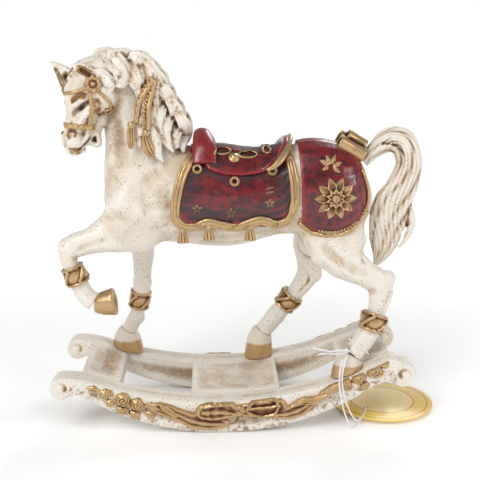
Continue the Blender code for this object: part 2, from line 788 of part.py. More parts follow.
def pin_cutters():
    """Drills for the steel pins that tie the standing hooves to the base."""
    shape = bmesh.new()
    radius = PIN_RADIUS + GAP
    for x, y in HOOF_PLACES.values():
        low = deck_z(x) - PIN_DEPTH - GAP
        high = deck_z(x) + PIN_RISE + GAP
        profile = [(0.0, high), (radius, high), (radius, low), (0.0, low)]
        turned_into(shape, profile, Matrix.Translation((x, y, 0.0)), steps=12)
    return finish_mesh("pin_drills", shape)


def make_pins():
    """Three steel pins, each half in the base and half in a hoof."""
    for word, (x, y) in HOOF_PLACES.items():
        low = deck_z(x) - PIN_DEPTH
        high = deck_z(x) + PIN_RISE
        profile = [(0.0, high), (PIN_RADIUS, high), (PIN_RADIUS, low), (0.0, low)]
        turned(word + "_pin", Matrix.Translation((x, y, 0.0)), profile, STEEL)


# ---- saddlery that lies on the torso ----
def drape(name, edges, lift, thickness, finish=None, columns=12, rows=20):
    """A shell over the torso; edges(amount) gives x on the ridge, x at the hem and the hem's height."""
    shape = bmesh.new()
    bmesh.ops.create_grid(shape, x_segments=columns, y_segments=rows, size=1.0)
    for vert in shape.verts:
        amount = (vert.co.x + 1.0) / 2
        side = 1.0 if vert.co.y < 0 else -1.0
        down = abs(vert.co.y)
        ridge_x, hem_x, hem_z = edges(amount)
        x = ridge_x + (hem_x - ridge_x) * down**0.8
        angle = torso_angle(hem_x, hem_z) * down
        vert.co = torso_point(x, side * angle, lift)
    part = finish_mesh(name, shape, finish)
    wall = part.modifiers.new("wall", "SOLIDIFY")
    wall.thickness = thickness * MILLIMETRE
    wall.offset = 1.0
    wall.use_even_offset = False
    return part


def saddle_cloth_edges(amount):
    """The saddle cloth: narrow on the back, wide and scalloped at the hem."""
    ridge = -18.5 + 47.0 * amount
    hem = -28.6 + 61.0 * amount
    corner = 7.0 * (2 * amount - 1) ** 8
    scallop = 1.3 * math.cos(3 * math.tau * amount * 0.92)
    return ridge, hem, 111.0 - scallop * (1 - abs(2 * amount - 1) ** 3) + corner


def rump_cloth_edges(amount):
    """The rump cloth: from the saddle cloth's rear edge to the dock, round at the hem."""
    ridge = 34.4 + 29.0 * amount
    hem = 36.2 + 35.6 * amount
    swing = 2 * amount - 0.92
    return ridge, hem, 104.4 + 10.0 * abs(swing) ** 2.2 + 6.5 * amount**6


def saddle_edges(amount):
    """The saddle: seat on the ridge, half-round flaps."""
    ridge = -17.6 + 47.0 * amount
    hem = -16.0 + 42.0 * amount
    flap = math.sqrt(max(1 - (2 * amount - 1) ** 2, 0.0))
    return ridge, hem, 143.0 - 8.0 * flap


def hem_path(edges, side, lift, steps=18, first=0.0, last=1.0, rise=None):
    """Points along a cloth's hem on one side, carried up both ends of it."""
    path = []
    up_steps = 4
    if rise:
        for step in range(up_steps):
            path.append(edge_point(edges, first, side, lift, rise + (1 - rise) * step / up_steps))
    for step in range(steps + 1):
        path.append(edge_point(edges, first + (last - first) * step / steps, side, lift, 1.0))
    if rise:
        for step in range(1, up_steps + 1):
            path.append(edge_point(edges, last, side, lift, 1 - (1 - rise) * step / up_steps))
    return path


def edge_point(edges, amount, side, lift, down):
    """A point of a cloth by how far along and how far down it lies."""
    ridge_x, hem_x, hem_z = edges(amount)
    x = ridge_x + (hem_x - ridge_x) * down**0.8
    return tuple(torso_point(x, side * torso_angle(hem_x, hem_z) * down, lift))


def make_trims(word, side):
    """On one side: the corded hem with its tassels, the beaded hem and the flower on the rump."""
    hem = hem_path(saddle_cloth_edges, side, TRIM_LIFT, first=0.03, last=0.97, rise=0.62)
    trim = cord(word + "_cloth_trim", hem, TRIM_RADIUS, ANTIQUE_GOLD)
    hem_front = saddle_cloth_edges(0.0)[1]
    hem_rear = saddle_cloth_edges(1.0)[1]
    for x in TASSEL_STATIONS:
        amount = (x - hem_front) / (hem_rear - hem_front)
        top = Vector(edge_point(saddle_cloth_edges, amount, side, TRIM_LIFT, 1.0))
        foot = top + Vector((0.0, side * 0.4, -TASSEL_HEIGHT))
        tassel = turned(f"{word}_tassel_{x:.0f}", facing(foot, top - foot), TASSEL_PROFILE, steps=8)
        boolean(trim, "UNION", tassel)
    beads = hem_path(rump_cloth_edges, side, TRIM_LIFT, first=0.06, last=0.95)
    cord(word + "_rump_trim", beads, TRIM_RADIUS, ANTIQUE_GOLD)
    flower_place = side_place(*FLOWER_STATION, FLOWER_LIFT, side)
    turned(word + "_rump_rosette", flower_place, FLOWER_PROFILE, ANTIQUE_GOLD, steps=20)


def make_saddlery():
    """Cloths, saddle, trims, cantle rim and crupper bow."""
    drape("saddle_cloth", saddle_cloth_edges, CLOTH_LIFT, CLOTH_THICKNESS, RED_ENAMEL)
    drape("rump_cloth", rump_cloth_edges, CLOTH_LIFT, CLOTH_THICKNESS, RED_ENAMEL)
    drape("saddle", saddle_edges, SADDLE_LIFT, SADDLE_THICKNESS, RED_ENAMEL, columns=10, rows=14)

    for word, side in (("left", 1), ("right", -1)):
        make_trims(word, side)

    lift = SADDLE_LIFT + SADDLE_THICKNESS + CANTLE_RADIUS
    cantle = []
    for step in range(-CANTLE_STEPS, CANTLE_STEPS + 1):
        amount = step / CANTLE_STEPS
        x = CANTLE_X - CANTLE_SWEEP * amount**2
        cantle.append(tuple(torso_point(x, CANTLE_HALF_ANGLE * amount, lift)))
    tube("cantle_rim", cantle, CANTLE_RADIUS, ANTIQUE_GOLD)

    bow = []
    for x, width in BOW_STATIONS:
        clear = CLOTH_LIFT + CLOTH_THICKNESS + GAP + BOW_RADIUS
        bow.append((*torso_point(x, 0.0, clear), width))
    tube("crupper_bow", smooth_through(bow, 2), BOW_RADIUS, ANTIQUE_GOLD)


# ---- the horse ----
def make_horse():
    """Torso, head, mane, tail, legs and hooves, each trimmed to its neighbours."""
    make_torso("torso", IVORY)
    torso_cutter = make_torso("torso_cutter", grow=GAP)
    saddlery_cutter = make_torso("saddlery_cutter", grow=TRIM_LIFT + TRIM_RADIUS + 4 * GAP)
    saddlery_zone = slab("saddlery_zone", SADDLERY_ZONE, -CUTTER_HALF_WIDTH, CUTTER_HALF_WIDTH)
    boolean(saddlery_cutter, "INTERSECT", saddlery_zone)

    head = limb("head_and_neck", NECK_STATIONS, IVORY)
    skull = limb("skull", HEAD_STATIONS)
    boolean(head, "UNION", skull)
    for word, stations in EAR_STATIONS.items():
        boolean(head, "UNION", limb(word + "_ear", stations, steps=2, sides=12))
    cut(head, torso_cutter)
    grown = EYE_SOCKET_GROWTH
    socket = [(radius * grown, height * grown) for radius, height in EYE_PROFILE]
    for word, point in EYE_PLACES.items():
        where = Matrix.Translation(point)
        cut(head, turned(word + "_eye_socket", where, socket, steps=10))
        turned(word + "_eye", where, EYE_PROFILE, DARK_EYE, steps=10)

    make_mane(torso_cutter)
    skull_cutter = limb("skull_cutter", HEAD_STATIONS, grow=GAP)
    poll_cutter = limb("poll_cutter", NECK_STATIONS, grow=GAP)
    forelock = limb("forelock", FORELOCK_STATIONS, IVORY, steps=3, sides=14)
    cut(forelock, skull_cutter, poll_cutter)
    for word, stations in EAR_STATIONS.items():
        cut(forelock, limb(word + "_ear_cutter", stations, grow=GAP, steps=2, sides=12))

    tail = limb("tail", TAIL_STATIONS, IVORY, sides=LEG_SIDES)
    left_thigh_cutter = limb("left_thigh_cutter", LEG_STATIONS["left_hind_leg"], grow=GAP)
    cut(tail, torso_cutter, left_thigh_cutter)

    drills = pin_cutters()
    deck = deck_cutter()
    for name, stations in LEG_STATIONS.items():
        leg = limb(name, stations, IVORY, sides=LEG_SIDES)
        cut(leg, torso_cutter, saddlery_cutter, drills)
        hoof_name = name.replace("_foreleg", "_fore").replace("_hind_leg", "_hind")
        hoof_stations = HOOF_STATIONS[hoof_name]
        hoof = limb(hoof_name + "_hoof", hoof_stations, ANTIQUE_GOLD, steps=2, sides=LEG_SIDES)
        cut(hoof, limb(name + "_cutter", stations, grow=GAP, sides=LEG_SIDES), deck, drills)
        cuff_name = name.replace("_hind_leg", "_hind") + "_cuff"
        cuff = limb(cuff_name, CUFF_STATIONS[cuff_name], ANTIQUE_GOLD, steps=2, sides=LEG_SIDES)
        cut(cuff, bpy.data.objects[name + "_cutter"])


def make_mane(torso_cutter):
    """A crescent along the crest of the neck, down to the withers."""
    mane = limb("mane", MANE_STATIONS, IVORY, steps=2, sides=22)
    neck_cutter = limb("neck_cutter", NECK_STATIONS, grow=GAP)
    throat = slab("throat_side", THROAT_SIDE, -CUTTER_HALF_WIDTH, CUTTER_HALF_WIDTH)
    withers = slab("withers_side", WITHERS_SIDE, -CUTTER_HALF_WIDTH, CUTTER_HALF_WIDTH)
    head_cutter = limb("mane_head_cutter", HEAD_STATIONS, grow=GAP)
    cut(mane, neck_cutter, torso_cutter, throat, withers, head_cutter)


# ---- bridle and cords ----
def make_bridle():
    """Noseband, cheek straps and the rosettes under the ears."""
    skull_cutter = bpy.data.objects["skull_cutter"]
    noseband = limb("noseband", NOSEBAND_STATIONS, ANTIQUE_GOLD, steps=1, sides=24)
    cut(noseband, skull_cutter)
    low, high = STRAP_SPAN
    rows = [row for row in smooth_through(HEAD_STATIONS, 4) if low < row[2] < high]
    for word, sign in (("left", -1), ("right", 1)):
        path = [(x + fore * 0.3, y + sign * side * 1.03, z) for x, y, z, fore, side in rows]
        strap = cord(word + "_cheek_strap", path, STRAP_RADIUS, ANTIQUE_GOLD)
        cut(strap, skull_cutter, bpy.data.objects["poll_cutter"])
        where = facing(ROSETTE_PLACES[word], (0.2, sign, 0.15))
        turned(word + "_bridle_rosette", where, ROSETTE_PROFILE, ANTIQUE_GOLD)


def neck_side_y(x, z, side, lift):
    """How far out the mane reaches beside a point, and a lift more."""
    best = 0.0
    for row in smooth_through(MANE_STATIONS, 6):
        offset = math.hypot(x - row[0], z - row[2])
        if offset < row[3]:
            reach = row[4] * math.sqrt(1 - (offset / row[3]) ** 2)
            best = max(best, reach - side * row[1])
    return -side * (best + lift)


def make_mane_cords():
    """Two gold braids with tassels on each side of the neck."""
    lift = CORD_RADIUS + 3 * GAP
    for word, side in (("left", 1), ("right", -1)):
        for place_word, route in MANE_CORDS.items():
            points = [(x, neck_side_y(x, z, side, lift), z) for x, z in route]
            name = f"{word}_{place_word}_mane_cord"
            braid = cord(name, smooth_through(points, 3), CORD_RADIUS, ANTIQUE_GOLD)
            foot = Vector(points[-1]) - Vector((0.6, side * 0.6, TASSEL_HEIGHT - CORD_RADIUS))
            where = facing(foot, (0.1, 0.0, 1.0))
            boolean(braid, "UNION", turned(name + "_tassel", where, TASSEL_PROFILE, steps=8))


# ---- swing tag on its elastic string ----
def make_tag():
    """String round the hind pastern, its knot, the long loop and the card disc."""
    rings = limb_rings(LEG_STATIONS["left_hind_leg"], grow=STRING_RADIUS + 2 * GAP)
    ring = rings[int(STRING_RING * len(rings))]
    tube("string_loop", ring, STRING_RADIUS, ELASTIC, closed=True)
    turned("string_knot", Matrix.Translation(KNOT_PLACE), KNOT_PROFILE, ELASTIC, steps=10)
    tube("tag_string", smooth_through(STRING_ROUTE, 2), STRING_RADIUS, ELASTIC)

    tilt = Matrix.Rotation(-TAG_TILT, 4, "X")
    rise = TAG_RADIUS * math.sin(TAG_TILT)
    centre = Matrix.Translation((TAG_CENTRE[0], TAG_CENTRE[1], rise)) @ tilt
    disc = [(0.0, TAG_THICKNESS), (TAG_RADIUS, TAG_THICKNESS), (TAG_RADIUS, 0.0), (0.0, 0.0)]
    tag = turned("hang_tag", centre, disc, CARD, steps=48)
    reach = 5 * TAG_THICKNESS
    drill = [(0.0, reach), (TAG_HOLE_RADIUS, reach), (TAG_HOLE_RADIUS, -reach), (0.0, -reach)]
    over = Vector((TAG_HOLE[0] - TAG_CENTRE[0], TAG_HOLE[1] - TAG_CENTRE[1], 0.0))
    cut(tag, turned("tag_drill", centre @ Matrix.Translation(over), drill))


def main():
    """Build the base, the horse, its saddlery and the tag."""
    for word, side in (("left", 1), ("right", -1)):
        make_rocker(word + "_rocker", side)
        make_ornaments(word, side)
    for name, span in BOARD_SPANS.items():
        make_board(name, *span)
    make_pins()
    make_horse()
    for word in ("left", "right"):
        cut(bpy.data.objects[word + "_rocker"], bpy.data.objects["pin_drills"])
    make_saddlery()
    make_bridle()
    make_mane_cords()
    make_tag()


main()
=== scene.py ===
"""Looks of the cast rocking-horse figurine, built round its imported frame.

The classes hold their sizes in millimetres, in the layout in which the figurine was drawn: the horse
faces -X, its left side is at -Y, and the rockers touch the ground at Z 0. Layout turns those numbers
into the frame's metres, from the place of one of the frame's own pins.
"""

import logging
import math
from dataclasses import dataclass, field
from enum import Enum
from typing import Callable, Sequence

import bmesh
import bpy
import numpy as np
from mathutils import Matrix, Vector
from mathutils.bvhtree import BVHTree


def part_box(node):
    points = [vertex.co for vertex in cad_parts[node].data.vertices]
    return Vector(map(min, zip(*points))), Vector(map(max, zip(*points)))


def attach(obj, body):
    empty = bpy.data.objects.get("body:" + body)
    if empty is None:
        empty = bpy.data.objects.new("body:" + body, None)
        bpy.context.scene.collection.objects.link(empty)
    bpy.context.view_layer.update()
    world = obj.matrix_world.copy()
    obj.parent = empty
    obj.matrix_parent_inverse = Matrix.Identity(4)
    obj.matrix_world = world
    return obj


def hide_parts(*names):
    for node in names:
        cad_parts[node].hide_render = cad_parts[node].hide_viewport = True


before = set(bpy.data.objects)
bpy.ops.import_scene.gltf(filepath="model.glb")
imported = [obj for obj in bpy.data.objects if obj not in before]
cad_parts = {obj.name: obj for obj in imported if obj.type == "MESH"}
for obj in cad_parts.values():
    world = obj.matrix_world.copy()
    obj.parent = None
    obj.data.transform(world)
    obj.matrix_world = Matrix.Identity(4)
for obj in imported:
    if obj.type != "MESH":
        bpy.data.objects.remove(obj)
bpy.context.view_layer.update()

LOG = logging.getLogger("rocking_horse")
Point = Sequence[float]
Rows = Sequence[Sequence[float]]
Array = np.ndarray
Strokes = Sequence[Sequence]
Colour = tuple[float, float, float]


class Side(Enum):
    """The two sides of the horse; the value is the sign of Y."""

    LEFT = -1
    RIGHT = 1


class Slot(Enum):
    """The record's material slots."""

    IVORY = "antique_ivory"
    GOLD = "antique_gold"
    RED = "red_enamel"
    EYE = "dark_eye_enamel"
    STEEL = "pin_steel"
    STRING = "elastic_string"
    CARD = "tag_card"


# ---- layout ----
class Layout:
    """The figurine's drawing in millimetres, tied to the frame by the right hind pin."""

    millimetre = 0.001
    pin_x = 17.0

    @classmethod
    def shift(cls) -> Array:
        """What the layout moves by to become the frame, in millimetres."""
        low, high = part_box("right_hind_pin")
        return np.array([(low[0] + high[0]) / 2 / cls.millimetre - cls.pin_x, 0.0, 0.0])

    @classmethod
    def metres(cls, points: Array) -> Array:
        """Layout points as frame points."""
        return (np.asarray(points, float) + cls.shift()) * cls.millimetre

    @classmethod
    def drawn(cls, points: Array) -> Array:
        """Frame points as layout points."""
        return np.asarray(points, float) / cls.millimetre - cls.shift()


def node_points(name: str) -> Array:
    """The vertices of a frame node, in the layout."""
    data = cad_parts[name].data
    flat = np.empty(len(data.vertices) * 3)
    data.vertices.foreach_get("co", flat)
    return Layout.drawn(flat.reshape(-1, 3))


def linked(holder: bpy.types.Object) -> bpy.types.Object:
    """Put an object in the scene."""
    bpy.context.scene.collection.objects.link(holder)
    return holder


def mesh_of(shape: bmesh.types.BMesh, name: str) -> bpy.types.Mesh:
    """A mesh made from a shape, which is freed."""
    data = bpy.data.meshes.new(name)
    shape.to_mesh(data)
    shape.free()
    return data


def smooth_line(points: Rows, steps: int = 6, closed: bool = False) -> Array:
    """A smooth curve through points.

    Args:
        points: Rows of any number of values; each column is smoothed alike.
        steps: How many new rows each stretch gets.
        closed: Whether the last point leads back to the first.

    Returns:
        The rows of the curve.
    """
    rows = np.asarray(points, float)
    if closed:
        ring = np.vstack([rows[-1:], rows, rows[:2]])
    else:
        ring = np.vstack([2 * rows[:1] - rows[1:2], rows, 2 * rows[-1:] - rows[-2:-1]])
    parts = []
    for index in range(len(ring) - 3):
        before, start, end, after = ring[index : index + 4]
        for amount in np.arange(steps) / steps:
            bend = 2 * before - 5 * start + 4 * end - after
            turn = 3 * start - before - 3 * end + after
            parts.append(start + 0.5 * ((end - before) + (bend + turn * amount) * amount) * amount)
    if not closed:
        parts.append(rows[-1])
    return np.array(parts)


def nearest_on(line: Array, points: Array) -> tuple[Array, Array, Array]:
    """Where each point lies along a line of straight stretches.

    Args:
        line: The line's points.
        points: The points to place.

    Returns:
        Distance, place along the line from 0 to 1, and the nearest point itself.
    """
    line = line[:, : points.shape[1]]
    best = np.full(len(points), np.inf)
    place = np.zeros(len(points))
    foot = np.zeros((len(points), line.shape[1]))
    count = len(line) - 1
    for index in range(count):
        span = line[index + 1] - line[index]
        long = max(float(span @ span), 1e-9)
        amount = np.clip((points - line[index]) @ span / long, 0.0, 1.0)
        near = line[index] + amount[:, None] * span
        gap = np.linalg.norm(points - near, axis=1)
        closer = gap < best
        best[closer] = gap[closer]
        place[closer] = (index + amount[closer]) / count
        foot[closer] = near[closer]
    return best, place, foot


def unit(vectors: Array) -> Array:
    """Vectors of length 1."""
    return vectors / np.maximum(np.linalg.norm(vectors, axis=-1, keepdims=True), 1e-9)


def facing(point: Point, normal: Point, spin: float = 0.0) -> Matrix:
    """A matrix that stands a shape's Z on a point along a normal, with its Y kept upright.

    Args:
        point: Where the shape's origin goes.
        normal: The way its Z points.
        spin: A turn about its own Z, in degrees.

    Returns:
        The 4 by 4 matrix.
    """
    rise = Vector(normal).normalized()
    across = Vector((0.0, 0.0, 1.0)).cross(rise)
    across = across.normalized() if across.length > 0.2 else Vector((1.0, 0.0, 0.0))
    turn = Matrix((across, rise.cross(across), rise)).transposed().to_4x4()
    return Matrix.Translation(Vector(point)) @ turn @ Matrix.Rotation(math.radians(spin), 4, "Z")


class Surface:
    """The outer skin of some of the frame's nodes, to lay ornaments on."""

    reach = 90.0
    inner_reach = 20.0

    def __init__(self, *nodes: str) -> None:
        """Gather the nodes' faces into one search tree."""
        verts: list[Vector] = []
        faces: list[list[int]] = []
        for name in nodes:
            base = len(verts)
            verts += [Vector(row) for row in node_points(name)]
            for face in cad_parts[name].data.polygons:
                faces.append([base + index for index in face.vertices])
        self.tree = BVHTree.FromPolygons(verts, faces)

    @classmethod
    def of(cls, skin: "Skin") -> "Surface":
        """The outside of a sculpted skin."""
        surface = cls()
        faces = [tuple(face.vertices) for face in skin.mesh.polygons]
        surface.tree = BVHTree.FromPolygons(skin.points.tolist(), faces)
        return surface

    def cast(self, start: Point, direction: Point) -> tuple[Vector, Vector] | None:
        """The first face that a ray meets: its point and outward normal."""
        ray = Vector(direction).normalized()
        point, normal, _, _ = self.tree.ray_cast(Vector(start), ray)
        if point is None:
            return None
        return point, -normal if normal.dot(ray) > 0 else normal

    def beside(self, x: float, z: float, side: Side, lift: float = 0.0) -> tuple[Vector, Vector]:
        """The place beside a point of the horse's middle plane.

        Args:
            x: Place along the horse.
            z: Height.
            side: Which side of the horse.
            lift: How far off the skin.

        Returns:
            The lifted point and the skin's normal.
        """
        found = self.cast((x, side.value * self.reach, z), (0.0, -side.value, 0.0))
        if found is None:
            near, normal, _, _ = self.tree.find_nearest(Vector((x, side.value * self.inner_reach, z)))
            found = near, normal
        point, normal = found
        return point + normal * lift, normal


# ---- finishes ----
class Graph:
    """A material's nodes, wired by short calls."""

    mix_inputs = (0, 6, 7)
    mix_output = 2

    def __init__(self, name: str) -> None:
        """Start a material with a Principled shader."""
        self.material = bpy.data.materials.new(name)
        self.material.use_nodes = True
        self.tree = self.material.node_tree
        self.shader = self.tree.nodes["Principled BSDF"]
        self.place = self.add("ShaderNodeTexCoord").outputs["Object"]

    def add(self, kind: str, **settings: object) -> bpy.types.Node:
        """Add a node and set its properties."""
        node = self.tree.nodes.new(kind)
        for key, value in settings.items():
            setattr(node, key, value)
        return node

    def feed(self, socket: bpy.types.NodeSocket, value: object) -> None:
        """Link a socket to another, or set its value."""
        if isinstance(value, bpy.types.NodeSocket):
            self.tree.links.new(value, socket)
        elif isinstance(value, tuple) and len(value) == 3 and socket.type == "RGBA":
            socket.default_value = (*value, 1.0)
        else:
            socket.default_value = value

    def set(self, name: str, value: object) -> None:
        """Feed one of the shader's own sockets."""
        self.feed(self.shader.inputs[name], value)

    def math(self, operation: str, first: object, second: object = 0.0) -> bpy.types.NodeSocket:
        """One sum on two values."""
        node = self.add("ShaderNodeMath", operation=operation)
        self.feed(node.inputs[0], first)
        self.feed(node.inputs[1], second)
        return node.outputs[0]

    def ramp(self, value: object, low: float, high: float, top: float = 1.0) -> bpy.types.NodeSocket:
        """A soft step from 0 at low to top at high."""
        node = self.add("ShaderNodeMapRange", interpolation_type="SMOOTHSTEP")
        for key, item in (("Value", value), ("From Min", low), ("From Max", high), ("To Max", top)):
            self.feed(node.inputs[key], item)
        return node.outputs["Result"]

    def blend(self, amount: object, first: object, second: object) -> bpy.types.NodeSocket:
        """One colour turning into another."""
        node = self.add("ShaderNodeMix", data_type="RGBA")
        for socket, value in zip(self.mix_inputs, (amount, first, second)):
            self.feed(node.inputs[socket], value)
        return node.outputs[self.mix_output]

    def noise(self, size: float, detail: float = 3.0, distort: float = 0.0) -> bpy.types.NodeSocket:
        """Cloudy variation whose patches are about a size in millimetres."""
        node = self.add("ShaderNodeTexNoise")
        self.feed(node.inputs["Vector"], self.place)
        node.inputs["Scale"].default_value = 1.0 / (size * Layout.millimetre)
        node.inputs["Detail"].default_value = detail
        node.inputs["Distortion"].default_value = distort
        return node.outputs["Fac"]

    def dots(self, size: float) -> bpy.types.NodeSocket:
        """Distance to scattered points, about a size in millimetres apart."""
        node = self.add("ShaderNodeTexVoronoi")
        self.feed(node.inputs["Vector"], self.place)
        node.inputs["Scale"].default_value = 1.0 / (size * Layout.millimetre)
        return node.outputs["Distance"]

    def attribute(self, name: str) -> bpy.types.NodeSocket:
        """A value that the mesh carries."""
        return self.add("ShaderNodeAttribute", attribute_name=name).outputs["Fac"]

    def bump(self, height: object, depth: float) -> None:
        """Roughen the surface by a height, with a depth in millimetres."""
        node = self.add("ShaderNodeBump")
        node.inputs["Distance"].default_value = depth * Layout.millimetre
        node.inputs["Strength"].default_value = 1.0
        self.feed(node.inputs["Height"], height)
        self.set("Normal", node.outputs["Normal"])


@dataclass(frozen=True)
class CastFinish:
    """Paint on a casting: a base coat, a brown tone in the hollows that is partly antique patina and partly
    painted shade, and high edges lightened partly as rubbed wear and partly as painted highlight.
    """

    name: str
    light: Colour
    middle: Colour
    wash_and_shade: Colour
    deep: Colour
    bright: Colour
    speck: Colour
    metallic: float
    gloss: float
    dull: float
    coat: float
    hollow_gain: float
    patch_size: float
    speck_share: float
    grain: float

    def material(self) -> bpy.types.Material:
        """Build the finish as one material.

        Returns:
            The material, which reads the hollow, shade and gilt attributes of a skin.
        """
        graph = Graph(self.name)
        patches = graph.noise(self.patch_size, 4.0, 0.4)
        mottle = graph.noise(self.patch_size * 0.22, 5.0)
        fine = graph.noise(0.55, 2.0)
        hollow = graph.attribute("hollow")
        shade = graph.attribute("shade")

        ground = graph.blend(graph.ramp(patches, 0.38, 0.62), self.light, self.middle)
        drift = graph.math("MULTIPLY", graph.math("SUBTRACT", mottle, 0.5), 0.8)
        # Darkening of the hollows and the skin's shade marks: partly antique patina, partly painted shade,
        # with cloudy noise and dirt mixed in.
        patina_and_shade = graph.math("ADD", graph.math("MULTIPLY", hollow, self.hollow_gain), drift)
        patina_and_shade = graph.math("ADD", patina_and_shade, shade)
        dirt = graph.math("MULTIPLY", graph.ramp(graph.noise(1.5, 5.0, 0.8), 0.5, 0.72), 0.34)
        patina_and_shade = graph.math("ADD", patina_and_shade, dirt)
        patinated_and_shaded = graph.blend(graph.ramp(patina_and_shade, 0.06, 0.85, 0.92), ground, self.wash_and_shade)
        deepened = graph.blend(graph.ramp(patina_and_shade, 0.75, 1.7), patinated_and_shaded, self.deep)
        # The high edges take the bright colour: partly rubbed wear, partly painted highlight.
        edges = graph.math("SUBTRACT", graph.math("MULTIPLY", hollow, -self.hollow_gain), 0.1)
        rubbed_and_highlit = graph.blend(graph.ramp(edges, 0.0, 0.7, 0.85), deepened, self.bright)

        spots = graph.ramp(graph.dots(1.45), 0.25, 0.12)
        clusters = graph.ramp(graph.noise(9.0, 2.0), 1.0 - self.speck_share, 1.08 - self.speck_share)
        specks = graph.math("MULTIPLY", spots, clusters)
        painted = graph.blend(specks, rubbed_and_highlit, self.speck)

        patchy = graph.math("MULTIPLY", graph.math("SUBTRACT", mottle, 0.5), 0.9)
        gilt = graph.ramp(graph.math("ADD", graph.attribute("gilt"), patchy), 0.34, 0.62)
        if self.metallic:
            bare = graph.math("ADD", graph.math("MULTIPLY", graph.attribute("gilt"), -1.0), patchy)
            gilt = graph.ramp(bare, 0.34, 0.62)
            cover = graph.blend(graph.ramp(patina_and_shade, 0.1, 0.9), IVORY.light, IVORY.wash_and_shade)
        else:
            cover = graph.blend(graph.ramp(patina_and_shade, 0.1, 0.6), GOLD.light, GOLD.wash_and_shade)
        graph.set("Base Color", graph.blend(gilt, painted, cover))
        share = graph.math("SUBTRACT", 1.0, gilt) if self.metallic else gilt
        graph.set("Metallic", graph.math("MULTIPLY", share, self.metallic or 0.7))
        rough = graph.math("ADD", graph.math("MULTIPLY", mottle, self.dull - self.gloss), self.gloss)
        worn = graph.ramp(patina_and_shade, 0.3, 1.0, 0.25)
        graph.set("Roughness", graph.math("ADD", rough, worn))
        graph.set("Coat Weight", self.coat)
        graph.set("Coat Roughness", 0.12)
        height = graph.math("ADD", fine, graph.math("MULTIPLY", mottle, 1.5))
        graph.bump(graph.math("SUBTRACT", height, graph.math("MULTIPLY", specks, 0.8)), self.grain)
        return graph.material


# Each finish's hollow colours are antique patina and painted shade together; its bright colour on high edges
# is rubbed wear and painted highlight together.
GOLD = CastFinish(
    name="antique gold", light=(0.30, 0.17, 0.074), middle=(0.19, 0.098, 0.040), wash_and_shade=(0.14, 0.068, 0.030),
    deep=(0.040, 0.018, 0.009), bright=(0.60, 0.41, 0.21), speck=(0.08, 0.04, 0.02), metallic=0.78, gloss=0.2,
    dull=0.46, coat=0.0, hollow_gain=4.4, patch_size=4.0, speck_share=0.46, grain=0.035
)
IVORY = CastFinish(
    name="antique ivory", light=(0.745, 0.655, 0.55), middle=(0.60, 0.485, 0.35), wash_and_shade=(0.33, 0.21, 0.115),
    deep=(0.085, 0.042, 0.024), bright=(0.82, 0.765, 0.68), speck=(0.13, 0.075, 0.045), metallic=0.0,
    gloss=0.30, dull=0.55, coat=0.18, hollow_gain=1.7, patch_size=11.0, speck_share=0.55, grain=0.05
)
RED = CastFinish(
    name="red enamel", light=(0.17, 0.004, 0.007), middle=(0.050, 0.003, 0.006), wash_and_shade=(0.028, 0.005, 0.007),
    deep=(0.008, 0.004, 0.004), bright=(0.27, 0.010, 0.012), speck=(0.012, 0.006, 0.006), metallic=0.0,
    gloss=0.14, dull=0.24, coat=0.5, hollow_gain=2.4, patch_size=3.6, speck_share=0.55, grain=0.10
)


@dataclass(frozen=True)
class PlainFinish:
    """One paint over all, with a little cloudiness in its colour and gloss."""

    name: str
    first: Colour
    second: Colour
    metallic: float
    gloss: float
    dull: float
    size: float
    grain: float

    def material(self) -> bpy.types.Material:
        """Build the finish as one material."""
        graph = Graph(self.name)
        cloud = graph.noise(self.size)
        graph.set("Base Color", graph.blend(graph.ramp(cloud, 0.35, 0.65), self.first, self.second))
        graph.set("Roughness", graph.ramp(cloud, 0.3, 0.7, self.dull))
        graph.set("Metallic", self.metallic)
        graph.bump(cloud, self.grain)
        return graph.material


EYE = PlainFinish("eye enamel", (0.012, 0.008, 0.006), (0.03, 0.016, 0.01), 0.0, 0.04, 0.10, 1.5, 0.005)
STEEL = PlainFinish("pin steel", (0.50, 0.50, 0.51), (0.60, 0.60, 0.61), 1.0, 0.25, 0.40, 0.6, 0.01)
THREAD = PlainFinish("elastic thread", (0.80, 0.78, 0.84), (0.90, 0.89, 0.93), 0.0, 0.5, 0.75, 0.3, 0.02)


@dataclass(frozen=True)
class CardFinish:
    """Printed card: yellow, with plain rings round a pale middle."""

    name: str = "tag card"
    ground: Colour = (0.86, 0.60, 0.13)
    pale: Colour = (0.90, 0.72, 0.34)
    line: Colour = (0.30, 0.20, 0.05)
    centre: Point = (86.5, 0.0)
    rings: tuple[float, ...] = (25.6, 18.0)
    ring_width: float = 0.35

    def material(self) -> bpy.types.Material:
        """Build the card as one material."""
        graph = Graph(self.name)
        middle = Layout.metres(np.array([*self.centre, 0.0]))
        shifted = graph.add("ShaderNodeMapping", vector_type="POINT")
        shifted.inputs["Location"].default_value = (-middle[0], -middle[1], 0.0)
        shifted.inputs["Scale"].default_value = (1.0, 1.0, 0.0)
        graph.feed(shifted.inputs["Vector"], graph.place)
        length = graph.add("ShaderNodeVectorMath", operation="LENGTH")
        graph.feed(length.inputs[0], shifted.outputs["Vector"])
        out = graph.math("MULTIPLY", length.outputs["Value"], 1.0 / Layout.millimetre)
        colour = graph.blend(
            graph.ramp(out, self.rings[1] + 0.1, self.rings[1] - 0.1), self.ground, self.pale
        )
        for ring in self.rings:
            off = graph.math("ABSOLUTE", graph.math("SUBTRACT", out, ring))
            colour = graph.blend(graph.ramp(off, self.ring_width, self.ring_width * 0.6), colour, self.line)
        fibre = graph.noise(0.5, 4.0)
        graph.set("Base Color", graph.blend(graph.ramp(fibre, 0.5, 0.8, 0.18), colour, (0.7, 0.55, 0.2)))
        graph.set("Roughness", graph.ramp(fibre, 0.2, 0.8, 0.5))
        graph.bump(fibre, 0.01)
        return graph.material


